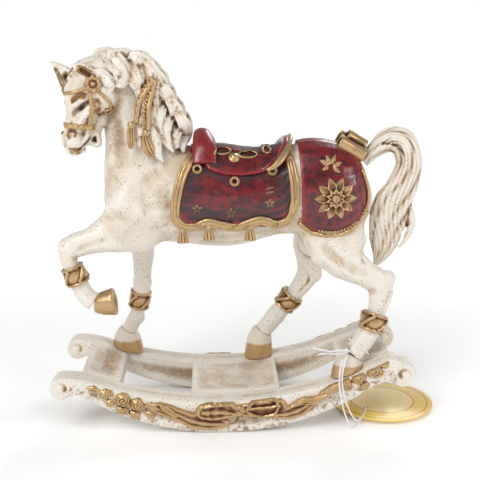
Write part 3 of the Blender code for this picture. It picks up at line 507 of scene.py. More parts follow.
class Paints:
    """Each finish made once, by slot."""

    def __init__(self) -> None:
        """Make every material."""
        finishes = {
            Slot.IVORY: IVORY, Slot.GOLD: GOLD, Slot.RED: RED, Slot.EYE: EYE, Slot.STEEL: STEEL,
            Slot.STRING: THREAD, Slot.CARD: CardFinish()
        }
        self.made = {slot: finish.material() for slot, finish in finishes.items()}


PAINTS = Paints()


# ---- sculpting ----
class Skin:
    """A mesh in layout millimetres whose points can be pushed about like clay."""

    # The broadest step gives a painted shade over large hollows; the finer steps find the fine hollows that
    # hold the antique patina.
    hollow_steps = (4, 14, 48)
    hollow_share = 0.6

    def __init__(self, mesh: bpy.types.Mesh) -> None:
        """Read the mesh's points and edges."""
        self.mesh = mesh
        count = len(mesh.vertices)
        flat = np.empty(count * 3)
        mesh.vertices.foreach_get("co", flat)
        self.points = flat.reshape(-1, 3)
        pairs = np.empty(len(mesh.edges) * 2, np.int32)
        mesh.edges.foreach_get("vertices", pairs)
        self.first, self.second = pairs.reshape(-1, 2).T
        tally = np.bincount(self.first, minlength=count) + np.bincount(self.second, minlength=count)
        self.degree = np.maximum(tally, 1)[:, None]
        self.shade = np.zeros(count)
        self.gilt = np.zeros(count)
        self.hollow_scale = 1.0

    def average(self, values: Array) -> Array:
        """Each point's mean over its neighbours."""
        count = len(values)
        total = np.empty_like(values)
        for column in range(values.shape[1]):
            there = np.bincount(self.first, values[self.second, column], count)
            total[:, column] = there + np.bincount(self.second, values[self.first, column], count)
        return total / self.degree

    def store(self) -> None:
        """Write the points back to the mesh."""
        self.mesh.vertices.foreach_set("co", self.points.ravel())
        self.mesh.update()

    def normals(self) -> Array:
        """The outward direction at each point."""
        self.store()
        flat = np.empty(len(self.points) * 3)
        self.mesh.vertex_normals.foreach_get("vector", flat)
        return flat.reshape(-1, 3)

    def relax(self, times: int) -> "Skin":
        """Smooth without shrinking: a step in, then a slightly larger one out."""
        for _ in range(times):
            for amount in (0.5, -0.52):
                self.points += amount * (self.average(self.points) - self.points)
        return self

    def weight(self, line: Rows, radius: float, fade: float = 0.18, steps: int = 5) -> Array:
        """How strongly a brush that follows a line touches each point.

        Args:
            line: The points that the brush passes, in the layout.
            radius: The brush's radius.
            fade: The share of the line over which each end tapers off; 0 keeps the ends full.
            steps: Smoothness of the line between its points.

        Returns:
            A value from 0 to 1 for each point.
        """
        path = np.asarray(line, float)
        if len(path) > 2:
            path = smooth_line(path, steps)
        low, high = path.min(axis=0) - radius, path.max(axis=0) + radius
        inside = np.nonzero(np.all((self.points > low) & (self.points < high), axis=1))[0]
        result = np.zeros(len(self.points))
        if len(path) < 2 or not len(inside):
            return result
        gap, place, _ = nearest_on(path, self.points[inside])
        touch = np.clip(1 - (gap / radius) ** 2, 0.0, 1.0) ** 2
        if fade:
            touch *= np.clip(np.minimum(place, 1 - place) / fade, 0.0, 1.0) ** 0.7
        result[inside] = touch
        return result

    def stroke(
        self, line: Rows, radius: float, depth: float, fade: float = 0.18, shade: float = 0.0
    ) -> "Skin":
        """Raise or cut a groove along a line; a plus depth raises, and shade darkens the groove as painted
        shade.
        """
        touch = self.weight(line, radius, fade)
        self.points += self.normals() * (touch * depth)[:, None]
        self.shade += touch * shade
        return self

    def soften(self, lines: list[Rows], radius: float, times: int) -> "Skin":
        """Melt creases away along lines."""
        touch = np.max([self.weight(line, radius, 0.0) for line in lines], axis=0)[:, None]
        for _ in range(times):
            self.points += 0.8 * touch * (self.average(self.points) - self.points)
        return self

    def darken(self, line: Rows, radius: float, amount: float) -> "Skin":
        """Brush a brown darkening along a line, used both as painted shade and for the paint's own brown
        tones.
        """
        self.shade += self.weight(line, radius, 0.0) * amount
        return self

    def gild(self, line: Rows, radius: float, rise: float = 0.12, amount: float = 1.0) -> "Skin":
        """Paint a raised gold stroke along a line."""
        touch = self.weight(line, radius, 0.3)
        self.gilt = np.maximum(self.gilt, np.clip(touch * 2.2, 0.0, 1.0) * amount)
        self.points += self.normals() * (touch * rise)[:, None]
        return self

    def comb(self, line: Rows, radius: float, teeth: int, depth: float, twist: float = 0.0) -> "Skin":
        """Rake grooves round and along a strand.

        Args:
            line: The strand's middle line.
            radius: How far from it the comb reaches.
            teeth: Grooves in a full turn.
            depth: Depth of each groove.
            twist: Turns that the grooves make from one end to the other.

        Returns:
            The same skin.
        """
        path = smooth_line([tuple(row)[:3] for row in line], 6)
        gap, place, foot = nearest_on(path, self.points)
        inside = gap < radius
        run = unit(np.gradient(path, axis=0))
        along = run[np.clip((place[inside] * (len(path) - 1)).astype(int), 0, len(path) - 1)]
        fore = unit(np.cross([0.0, 1.0, 0.0], along))
        spoke = self.points[inside] - foot[inside]
        height = np.einsum("ij,ij->i", spoke, np.cross(along, fore))
        angle = np.arctan2(height, np.einsum("ij,ij->i", spoke, fore))
        wave = np.cos(teeth * (angle + math.tau * twist * place[inside] + 0.35 * np.sin(9 * place[inside])))
        groove = -depth * (1 - np.abs(wave) ** 0.7) * np.clip((radius - gap[inside]) / (0.3 * radius), 0, 1)
        self.points[inside] += self.normals()[inside] * groove[:, None]
        return self

    def hollow(self) -> Array:
        """How hollow, in millimetres, each point lies among its neighbours; minus on ridges."""
        outward = self.normals()
        mean = self.points
        result = np.zeros(len(self.points))
        for step in range(1, self.hollow_steps[-1] + 1):
            mean = self.average(mean)
            if step in self.hollow_steps:
                result += self.hollow_share * np.einsum("ij,ij->i", mean - self.points, outward)
        return result * self.hollow_scale

    def finish(self, name: str, slot: Slot, *nodes: str) -> bpy.types.Object:
        """Turn the skin into a finished piece.

        Args:
            name: The piece's name.
            slot: Its material slot.
            nodes: The frame's nodes that it stands for.

        Returns:
            The piece, riding on the frame's one body.
        """
        hollow = self.hollow()
        self.points = Layout.metres(self.points)
        self.store()
        for key, values in (("hollow", hollow), ("shade", self.shade), ("gilt", self.gilt)):
            layer = self.mesh.attributes.new(key, "FLOAT", "POINT")
            layer.data.foreach_set("value", values)
        self.mesh.name = name
        return finish_piece(name, self.mesh, slot, *nodes)


def finish_piece(name: str, mesh: bpy.types.Mesh, slot: Slot, *nodes: str) -> bpy.types.Object:
    """Link a mesh in metres as a piece with its material, body and slot."""
    mesh.materials.clear()
    mesh.materials.append(PAINTS.made[slot])
    mesh.shade_smooth()
    piece = bpy.data.objects.new(name, mesh)
    linked(piece)
    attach(piece, "root")
    if nodes:
        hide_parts(*nodes)
    LOG.info("%s: %d faces", name, len(mesh.polygons))
    return piece


class Clay:
    """Lumps in layout millimetres that are cast together as one skin."""

    def __init__(self) -> None:
        """Start with nothing."""
        self.shape = bmesh.new()

    def node(self, *names: str) -> "Clay":
        """Add copies of frame nodes, welded."""
        for name in names:
            copy = bmesh.new()
            copy.from_mesh(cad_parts[name].data)
            bmesh.ops.remove_doubles(copy, verts=copy.verts, dist=1e-6)
            shift = Vector(Layout.shift())
            for vert in copy.verts:
                vert.co = vert.co / Layout.millimetre - shift
            self.take(copy)
        return self

    def take(self, other: bmesh.types.BMesh) -> "Clay":
        """Add another shape and free it."""
        data = mesh_of(other, "lump")
        self.shape.from_mesh(data)
        bpy.data.meshes.remove(data)
        return self

    def ball(self, centre: Point, radii: Point, turn: float = 0.0, sides: int = 20) -> "Clay":
        """Add an ellipsoid, turned about Y by some degrees."""
        place = Matrix.Translation(Vector(centre)) @ Matrix.Rotation(math.radians(turn), 4, "Y")
        place = place @ Matrix.Diagonal((*radii, 1.0))
        rings = sides // 2
        bmesh.ops.create_uvsphere(self.shape, u_segments=sides, v_segments=rings, radius=1.0, matrix=place)
        return self

    def sleeve(self, rings: Array, closed: bool = False) -> "Clay":
        """Add a tube through rings of points, rolled up from a flat grid.

        Args:
            rings: Points in rows, a row for each ring.
            closed: Whether the last ring joins the first.

        Returns:
            The same clay.
        """
        if closed:
            rings = np.concatenate([rings, rings[:1]])
        rows, sides = rings.shape[:2]
        rolled = np.concatenate([rings, rings[:, :1]], axis=1).reshape(-1, 3)
        part = bmesh.new()
        bmesh.ops.create_grid(part, x_segments=sides, y_segments=rows - 1, size=1.0)
        for vert, point in zip(list(part.verts), rolled.tolist()):
            vert.co = point
        bmesh.ops.remove_doubles(part, verts=part.verts, dist=1e-4)
        if not closed:
            bmesh.ops.holes_fill(part, edges=[edge for edge in part.edges if edge.is_boundary], sides=0)
        bmesh.ops.recalc_face_normals(part, faces=part.faces)
        return self.take(part)

    def limb(
        self, stations: Rows, sides: int = 22, steps: int = 5, ridges: int = 0, cut: float = 0.0,
        twist: float = 0.0, closed: bool = False, guide: Point = (0.0, 1.0, 0.0)
    ) -> "Clay":
        """Add a limb of elliptical sections.

        Args:
            stations: Rows of x, y, z, radius square to the guide and radius towards it.
            sides: Points round each section.
            steps: Sections between two stations.
            ridges: Ridges round the section, as on a rope or a lock of hair.
            cut: Depth of the valleys between ridges, as a share of the radius.
            twist: Turns that the ridges make from one end to the other.
            closed: Whether the limb is a ring.
            guide: The direction that the second radius lies nearest to.

        Returns:
            The same clay.
        """
        rows = smooth_line(stations, steps, closed)
        centres = rows[:, :3]
        if closed:
            run = unit(np.roll(centres, -1, axis=0) - np.roll(centres, 1, axis=0))
        else:
            run = unit(np.gradient(centres, axis=0))
        fore = unit(np.cross(guide, run))
        across = np.cross(run, fore)
        angle = np.arange(sides) * math.tau / sides
        turn = math.tau * twist * np.linspace(0.0, 1.0, len(rows))
        valley = 1 - cut * (1 - np.abs(np.cos(0.5 * ridges * (angle[None, :] + turn[:, None]))) ** 0.8)
        reach = np.maximum(rows[:, 3:5], 0.05)
        forward = (reach[:, :1] * np.cos(angle) * valley)[:, :, None] * fore[:, None, :]
        sideways = (reach[:, 1:] * np.sin(angle) * valley)[:, :, None] * across[:, None, :]
        return self.sleeve(centres[:, None, :] + forward + sideways, closed)

    def rope(
        self, points: Rows, radius: float, pitch: float, strands: int = 2, closed: bool = False
    ) -> "Clay":
        """Add a twisted rope along points, with its strands turning once in a pitch."""
        line = smooth_line([tuple(point)[:3] for point in points], 4, closed)
        length = float(np.linalg.norm(np.diff(line, axis=0), axis=1).sum())
        rows = [(*point, radius, radius) for point in resample(line, max(int(length / (pitch * 0.17)), 4))]
        return self.limb(rows, 12, 1, strands, cut=0.34, twist=length / pitch / strands, closed=closed)

    def beads(self, points: Rows, radius: float, spacing: float = 2.05) -> "Clay":
        """Add a row of beads along points."""
        line = smooth_line([tuple(point)[:3] for point in points], 4)
        length = float(np.linalg.norm(np.diff(line, axis=0), axis=1).sum())
        for point in resample(line, max(int(length / (spacing * radius)), 1)):
            place = Matrix.Translation(Vector(point))
            bmesh.ops.create_icosphere(self.shape, subdivisions=2, radius=radius, matrix=place)
        return self

    def turned(self, profile: Rows, place: Matrix, steps: int = 32) -> "Clay":
        """Add a turned solid: a profile of (radius, height) spun about its own Z."""
        part = bmesh.new()
        start = [part.verts.new((radius, 0.0, height)) for radius, height in profile]
        edges = [part.edges.new(pair) for pair in zip(start, start[1:])]
        turn = {"axis": (0.0, 0.0, 1.0), "cent": (0.0, 0.0, 0.0), "angle": math.tau}
        bmesh.ops.spin(part, geom=start + edges, steps=steps, use_merge=True, **turn)
        bmesh.ops.remove_doubles(part, verts=part.verts, dist=1e-4)
        bmesh.ops.recalc_face_normals(part, faces=part.faces)
        bmesh.ops.transform(part, matrix=place, verts=part.verts)
        return self.take(part)

    def raw(self, hollow_scale: float = 1.0) -> Skin:
        """The lumps as they are, with their hollows made to look deeper by a scale."""
        skin = Skin(mesh_of(self.shape, "raw"))
        skin.hollow_scale = hollow_scale
        return skin

    def cast(self, voxel: float, relax: int = 3) -> Skin:
        """Fuse the lumps into one skin.

        Args:
            voxel: Size of the skin's cells.
            relax: How often the skin is smoothed.

        Returns:
            The fused skin.
        """
        data = self.raw().mesh
        holder = bpy.data.objects.new("lumps", data)
        linked(holder)
        fuse = holder.modifiers.new("fuse", "REMESH")
        fuse.mode = "VOXEL"
        fuse.voxel_size = voxel
        fuse.adaptivity = 0.0
        graph = bpy.context.evaluated_depsgraph_get()
        fused = bpy.data.meshes.new_from_object(holder.evaluated_get(graph))
        bpy.data.objects.remove(holder, do_unlink=True)
        bpy.data.meshes.remove(data)
        return Skin(fused).relax(relax)


def resample(line: Array, count: int) -> Array:
    """A line cut into equal stretches."""
    run = np.concatenate([[0.0], np.cumsum(np.linalg.norm(np.diff(line, axis=0), axis=1))])
    where = np.linspace(0.0, run[-1], count + 1)
    return np.stack([np.interp(where, run, line[:, column]) for column in range(line.shape[1])], axis=1)


# ---- relief ----
@dataclass
class Relief:
    """A low relief on a surface, drawn as heights over a patch of it."""

    width: float
    height: float
    pitch: float = 0.32
    sink: float = 0.35

    def build(self, heights: Callable[[Array, Array], Array], lay: Callable) -> Clay:
        """Cut the patch to its outline and raise it.

        Args:
            heights: Height in millimetres at patch places (u, v); zero or less is left out.
            lay: Gives the surface's points and normals at patch places.

        Returns:
            The relief as closed clay.
        """
        columns = max(int(self.width / self.pitch), 4)
        rows = max(int(self.height / self.pitch), 4)
        part = bmesh.new()
        keys = part.verts.layers.int.new("key")
        bmesh.ops.create_grid(part, x_segments=columns, y_segments=rows, size=1.0)
        flat = np.array([vert.co[:2] for vert in part.verts]) * [self.width / 2, self.height / 2]
        rise = heights(flat[:, 0], flat[:, 1])
        keep = rise > 0.0
        for index, vert in enumerate(part.verts):
            vert[keys] = index
        left_out = [face for face in part.faces if not any(keep[vert[keys]] for vert in face.verts)]
        bmesh.ops.delete(part, geom=left_out, context="FACES")
        kept = np.array([vert[keys] for vert in part.verts])
        base, normals = lay(flat[kept, 0], flat[kept, 1])
        low = dict(zip(kept.tolist(), base - normals * self.sink))
        high = dict(zip(kept.tolist(), base + normals * np.maximum(rise[kept], -self.sink * 0.5)[:, None]))
        for vert in part.verts:
            vert.co = low[vert[keys]]
        grown = bmesh.ops.extrude_face_region(part, geom=list(part.faces))
        for item in grown["geom"]:
            if isinstance(item, bmesh.types.BMVert):
                item.co = high[item[keys]]
        bmesh.ops.recalc_face_normals(part, faces=part.faces)
        return Clay().take(part)


def lobes(u: Array, v: Array, count: int, radius: float, width: float, rim: float, floor: float) -> Array:
    """Pointed petals round a middle, each a raised outline round a shallow floor."""
    out = np.hypot(u, v)
    step = math.tau / count
    angle = (np.arctan2(v, u) + step / 2) % step - step / 2
    along = np.clip(out / radius, 0.0, 1.2)
    half = width * np.sin(math.pi * np.clip(along, 0.0, 1.0) ** 1.25)
    across = np.abs(out * np.sin(angle))
    inside = across < half
    edge = np.exp(-(((half - across) / 0.42) ** 2))
    return np.where(inside & (along < 1.0), floor + rim * edge, -1.0)


def dome(u: Array, v: Array, radius: float, top: float, bulge: float = 2.0) -> Array:
    """A round boss."""
    return np.where(
        np.hypot(u, v) < radius, top * np.clip(1 - (np.hypot(u, v) / radius) ** bulge, 0, 1) ** 0.5, -1.0
    )


def rose(u: Array, v: Array, radius: float) -> Array:
    """A full-blown rose: a coiled bud with a scalloped skirt of petals."""
    out = np.hypot(u, v) / radius
    angle = np.arctan2(v, u)
    skirt = 0.88 + 0.12 * np.abs(np.cos(2.5 * angle))
    coil = np.abs(np.cos(math.pi * (out * 2.6 - angle / math.tau)))
    body = 2.5 * np.clip(1 - (out / skirt) ** 2, 0.0, 1.0) ** 0.55
    return np.where(out < skirt, body * (0.62 + 0.38 * coil) * min(radius / 3.6, 1.1), -1.0)


def leaf(u: Array, v: Array, length: float, width: float, turn: float) -> Array:
    """A pointed leaf from the origin, with its veins."""
    angle = math.radians(turn)
    along = (u * math.cos(angle) + v * math.sin(angle)) / length
    across = -u * math.sin(angle) + v * math.cos(angle)
    half = width * np.sin(math.pi * np.clip(along, 0.0, 1.0) ** 0.85) + 1e-6
    veins = 0.16 * np.cos(math.tau * (along * 5 - np.abs(across) * 0.5))
    body = 0.95 * np.clip(1 - (np.abs(across) / half) ** 2, 0.0, 1.0) ** 0.5
    body = body - 0.38 * np.exp(-((across / 0.3) ** 2)) + veins * 0.6
    return np.where((along > 0) & (along < 1) & (np.abs(across) < half), body + 0.15, -1.0)


def band(u: Array, v: Array, line: Rows, half: float, top: float = 1.3, folds: float = 0.0) -> Array:
    """A ribbon along a line, with creases along it and, where wanted, across it."""
    path = smooth_line(line, 6)
    gap, place, _ = nearest_on(path[:, :2], np.stack([u, v], axis=1))
    width = half * (
        path[np.clip((place * (len(path) - 1)).astype(int), 0, len(path) - 1), 2] if path.shape[1] > 2 else 1
    )
    share = gap / np.maximum(width, 1e-6)
    crown = np.sqrt(np.clip(1 - share**2, 0.0, 1.0))
    body = top * (
        0.45 + 0.55 * crown + 0.1 * np.cos(share * 7.5) + folds * np.cos(place * 22.0 + share * 2.0) * crown
    )
    return np.where(share < 1.0, body, -1.0)


def arch(half: Rows, top: Point) -> Rows:
    """An arch over the horse's back: its left half, its top and its left half mirrored."""
    return (*half, top, *((x, -y, *rest) for x, y, *rest in reversed(half)))


# ---- the studio ----
@dataclass
class Studio:
    """A pale floor, soft white light and the camera."""

    eye: Point = (-0.01329, -0.41897, 0.20703)
    turn: float = -2.097
    tilt: float = 14.647
    lens: float = 60.0
    sensor: float = 36.0
    floor_half: float = 12.0
    floor_colour: Colour = (0.86, 0.86, 0.86)
    sky_strength: float = 1.0
    sun_strength: float = 0.85
    zenith: float = 0.3
    sun_spread: float = 32.0
    sun_way: Point = (0.42, 0.62, -1.0)
    lamps: Strokes = (
        ("key", (-0.45, -0.60, 0.62), 0.26, 1.9), ("right_fill", (0.75, -0.45, 0.55), 0.22, 1.5),
        ("rear", (0.35, 0.7, 0.65), 0.3, 1.8)
    )
    aim: Point = (0.0, 0.0, 0.1)

    def camera(self) -> bpy.types.Object:
        """The camera at the viewing angle."""
        data = bpy.data.cameras.new("camera")
        data.lens = self.lens
        data.sensor_width = self.sensor
        data.clip_start = 0.01
        camera = bpy.data.objects.new("camera", data)
        camera.location = self.eye
        camera.rotation_euler = (math.radians(90.0 - self.tilt), 0.0, math.radians(self.turn))
        linked(camera)
        bpy.context.scene.camera = camera
        return camera

    def lamp(self, name: str, place: Point, size: float, power: float) -> None:
        """A square soft light that faces the horse."""
        data = bpy.data.lights.new(name, "AREA")
        data.size = size
        data.energy = power
        lamp = bpy.data.objects.new(name, data)
        lamp.location = place
        aim = Vector(self.aim) - Vector(place)
        lamp.rotation_euler = aim.to_track_quat("-Z", "Y").to_euler()
        linked(lamp)

    def build(self) -> None:
        """Floor, sky and lights. The floor glows as painted light: evenly white far off, fading near the
        rockers into a painted shadow.
        """
        shape = bmesh.new()
        bmesh.ops.create_grid(shape, x_segments=1, y_segments=1, size=self.floor_half)
        data = mesh_of(shape, "floor")
        graph = Graph("floor paint")
        graph.set("Base Color", self.floor_colour)
        place = graph.add("ShaderNodeTexCoord").outputs["Object"]
        away = graph.add("ShaderNodeVectorMath", operation="LENGTH")
        graph.feed(away.inputs[0], place)
        graph.set("Emission Color", self.floor_colour)
        narrow = graph.add("ShaderNodeVectorMath", operation="MULTIPLY")
        graph.feed(narrow.inputs[0], place)
        narrow.inputs[1].default_value = (1.0, 2.9, 1.0)
        under = graph.add("ShaderNodeVectorMath", operation="LENGTH")
        graph.feed(under.inputs[0], narrow.outputs["Vector"])
        # Painted shadow: the glow fades inside an oval round the rockers.
        near = graph.ramp(under.outputs["Value"], 0.07, 0.125, 0.3)
        graph.set(
            "Emission Strength", graph.math("ADD", graph.ramp(away.outputs["Value"], 0.12, 0.7, 0.36), near)
        )
        graph.set("Roughness", 0.9)
        graph.set("Specular IOR Level", 0.1)
        data.materials.append(graph.material)
        floor = bpy.data.objects.new("floor", data)
        linked(floor)
        world = bpy.data.worlds.new("sky")
        world.use_nodes = True
        nodes, links = world.node_tree.nodes, world.node_tree.links
        sky = nodes["Background"]
        sky.inputs["Strength"].default_value = self.sky_strength
        place = nodes.new("ShaderNodeTexCoord")
        split = nodes.new("ShaderNodeSeparateXYZ")
        links.new(place.outputs["Generated"], split.inputs[0])
        fall = nodes.new("ShaderNodeMapRange")
        links.new(split.outputs["Z"], fall.inputs["Value"])
        for name, value in (("From Min", 0.05), ("From Max", 0.4), ("To Min", 1.0), ("To Max", self.zenith)):
            fall.inputs[name].default_value = value
        links.new(fall.outputs["Result"], sky.inputs["Color"])
        bpy.context.scene.world = world
        bpy.context.scene.view_settings.view_transform = "Standard"
        sun = bpy.data.lights.new("sun", "SUN")
        sun.energy = self.sun_strength
        sun.angle = math.radians(self.sun_spread)
        holder = bpy.data.objects.new("sun", sun)
        holder.rotation_euler = Vector(self.sun_way).to_track_quat("-Z", "Y").to_euler()
        linked(holder)
        for lamp in self.lamps:
            self.lamp(*lamp)


# ---- swing tag ----
@dataclass
class SwingTag:
    """A card disc on an elastic string that is looped round the near hind pastern."""

    radius: float = 28.5
    thickness: float = 0.7
    centre: Point = (86.5, 0.0)
    tilt: float = 2.5
    hole: Point = (75.7, -10.4)
    hole_radius: float = 1.4
    string_radius: float = 0.45
    knot: Point = (59.4, -32.0, 45.4)
    route: tuple[Point, ...] = (
        (59.8, -32.8, 43.4), (58.6, -34.2, 41.0), (57.6, -35.6, 37.2), (57.0, -36.3, 32.6),
        (57.4, -36.4, 27.0), (58.8, -36.3, 21.0), (60.6, -35.6, 15.4), (62.8, -34.4, 10.6),
        (65.4, -32.2, 6.4), (68.2, -29.0, 4.2), (71.0, -24.4, 3.8), (73.2, -18.6, 3.6), (74.8, -13.8, 3.4),
        (75.6, -11.0, 2.6), (75.6, -9.8, 1.4), (74.2, -11.2, 0.5), (72.0, -16.0, 0.5), (69.6, -21.6, 0.5),
        (67.2, -27.0, 0.5), (64.4, -31.6, 1.4), (61.8, -34.8, 5.0), (59.6, -36.4, 10.6), (57.8, -37.2, 16.0),
        (56.4, -37.6, 22.0), (55.6, -37.6, 28.0), (55.4, -37.2, 33.0), (56.0, -36.2, 38.0),
        (57.2, -34.6, 42.0)
    )
    tails: tuple[Rows, ...] = (
        (
            (59.0, -33.0, 45.6), (55.6, -34.6, 47.0), (50.8, -35.0, 46.6), (45.6, -34.6, 47.4),
            (41.4, -34.2, 48.4)
        ),
        ((59.0, -32.8, 45.0), (54.6, -34.0, 44.6), (49.6, -34.2, 45.2), (44.0, -34.6, 44.6))
    )

    def thread(self, points: Rows, closed: bool = False) -> Clay:
        """A length of braided elastic along points."""
        return Clay().rope(points, self.string_radius * 1.04, 1.5, 3, closed)

    def string(self) -> bpy.types.Object:
        """The free loop from the knot through the tag's hole and back."""
        piece = self.thread(self.route).raw().finish("elastic_string", Slot.STRING, "tag_string")
        path = Layout.metres(smooth_line(self.route, 4))
        return piece

    def pastern_loop(self) -> bpy.types.Object:
        """The loop round the pastern, along its node's own ring."""
        points = node_points("string_loop")
        middle = points.mean(axis=0)
        _, _, turn = np.linalg.svd(points - middle, full_matrices=False)
        flat = (points - middle) @ turn[:2].T
        angle = np.arctan2(flat[:, 1], flat[:, 0])
        count = 24
        ring = []
        for step in range(count):
            near = np.abs((angle - math.tau * step / count + math.pi) % math.tau - math.pi) < math.tau / count
            ring.append(tuple(points[near].mean(axis=0)))
        return self.thread(ring, True).raw().finish("pastern_loop", Slot.STRING, "string_loop")

    def knot_and_tails(self) -> bpy.types.Object:
        """The overhand knot with its two cut ends."""
        clay = Clay()
        x, y, z = self.knot
        for turn in range(3):
            tilt = math.radians(60 * turn)
            ring = []
            for step in range(10):
                angle = math.tau * step / 10
                across, up = 0.95 * math.cos(angle), 0.95 * math.sin(angle)
                ring.append((x + across * math.cos(tilt), y + 0.5 * across * math.sin(tilt), z + up))
            clay.rope(ring, self.string_radius, 1.5, 3, True)
        for tail in self.tails:
            clay.rope(tail, self.string_radius, 1.5, 3)
        return clay.raw().finish("knot", Slot.STRING, "string_knot")

    def card(self) -> bpy.types.Object:
        """The disc, with its punched hole and soft edges."""
        rise = self.radius * math.sin(math.radians(self.tilt))
        lean = Matrix.Rotation(-math.radians(self.tilt), 4, "X")
        place = Matrix.Translation((*self.centre, rise)) @ lean
        half = self.thickness / 2
        shape = bmesh.new()
        bmesh.ops.create_cone(
            shape, cap_ends=True, segments=144, radius1=self.radius, radius2=self.radius, depth=self.thickness
        )
        bmesh.ops.translate(shape, vec=(0.0, 0.0, half), verts=shape.verts)
        rims = [edge for edge in shape.edges if abs(edge.calc_face_angle(0.0)) > 1.0]
        bmesh.ops.bevel(shape, geom=rims, offset=0.16, segments=2, profile=0.5, affect="EDGES", material=-1)
        bmesh.ops.transform(shape, matrix=place, verts=shape.verts)
        drill = bmesh.new()
        over = (self.hole[0] - self.centre[0], self.hole[1] - self.centre[1], half)
        punch = place @ Matrix.Translation(over)
        bmesh.ops.create_cone(
            drill, cap_ends=True, segments=32, radius1=self.hole_radius, radius2=self.hole_radius, depth=4.0,
            matrix=punch
        )
        holders = []
        for name, part in (("disc", shape), ("punch", drill)):
            data = mesh_of(part, name)
            holder = bpy.data.objects.new(name, data)
            linked(holder)
            holders.append(holder)
        cut = holders[0].modifiers.new("cut", "BOOLEAN")
        cut.operation = "DIFFERENCE"
        cut.object = holders[1]
        graph = bpy.context.evaluated_depsgraph_get()
        data = bpy.data.meshes.new_from_object(holders[0].evaluated_get(graph))
        for holder in holders:
            bpy.data.objects.remove(holder, do_unlink=True)
        skin = Skin(data)
        skin.points = Layout.metres(skin.points)
        skin.store()
        piece = finish_piece("swing_tag", data, Slot.CARD, "hang_tag")
        data.set_sharp_from_angle(angle=math.radians(30))
        return piece

    def build(self) -> None:
        """Card, knot, loop and string."""
        card = self.card()
        knot = self.knot_and_tails()
        loop = self.pastern_loop()
        self.string()


# ---- the base ----
@dataclass
class Rockers:
    """The two rockers with their scrolled ends, and the boards between them."""

    voxel: float = 0.9
    front_scroll: Point = (-89.3, 26.2)
    rear_scroll: Point = (90.4, 31.4)
    scroll_radius: float = 6.4
    face_y: float = 33.0

    def coil(self, centre: Point, y: float, start: float, turns: float) -> list[Point]:
        """A spiral on a rocker's face, from its rim to its eye."""
        points = []
        for step in range(25):
            share = step / 24
            angle = math.radians(start) + math.tau * turns * share
            reach = self.scroll_radius * (0.86 - 0.72 * share)
            points.append((centre[0] + reach * math.cos(angle), y, centre[1] + reach * math.sin(angle)))
        return points

    def rocker(self, side: Side) -> None:
        """One rocker with its scrolls cut in."""
        word = side.name.lower()
        skin = Clay().node(word + "_rocker").cast(self.voxel, 2)
        for face in (self.face_y, 21.0):
            y = side.value * face
            skin.stroke(self.coil(self.rear_scroll, y, 215.0, 1.15), 2.2, -0.8, 0.1, 0.1)
            skin.stroke(self.coil(self.front_scroll, y, -30.0, -1.15), 2.2, -0.8, 0.1, 0.1)
        outer = side.value * self.face_y
        for drop, amount in ((0.0, 0.5), (-7.0, 0.8)):
            line = [
                (x, outer, z + drop) for x,
                z in ((-84, 27), (-60, 18), (-30, 11), (0, 8), (30, 11), (60, 20), (84, 31))
            ]
            skin.darken(line, 8.0, amount)
            skin.gilt = np.maximum(skin.gilt, skin.weight(line, 9.0, 0.0) * 0.42)
        # Painted shade on the inner face, which looks into the windows between the rockers.
        inner = side.value * 21.0
        skin.darken([(-70.0, inner, 22.0), (-4.0, inner, 10.0), (70.0, inner, 24.0)], 15.0, 0.8)
        skin.finish(word + "_rocker_casting", Slot.IVORY, word + "_rocker")

    def build(self) -> None:
        """Rockers and boards."""
        for side in Side:
            self.rocker(side)
        for name in ("front_board", "middle_board", "rear_board"):
            board = Clay().node(name).cast(0.8, 1)
            # The board's sides and underside, below its top, darkened as painted shade.
            board.shade += 0.35 * (board.points[:, 2] < board.points[:, 2].max() - 3.0)
            board.finish(name + "_casting", Slot.IVORY, name)


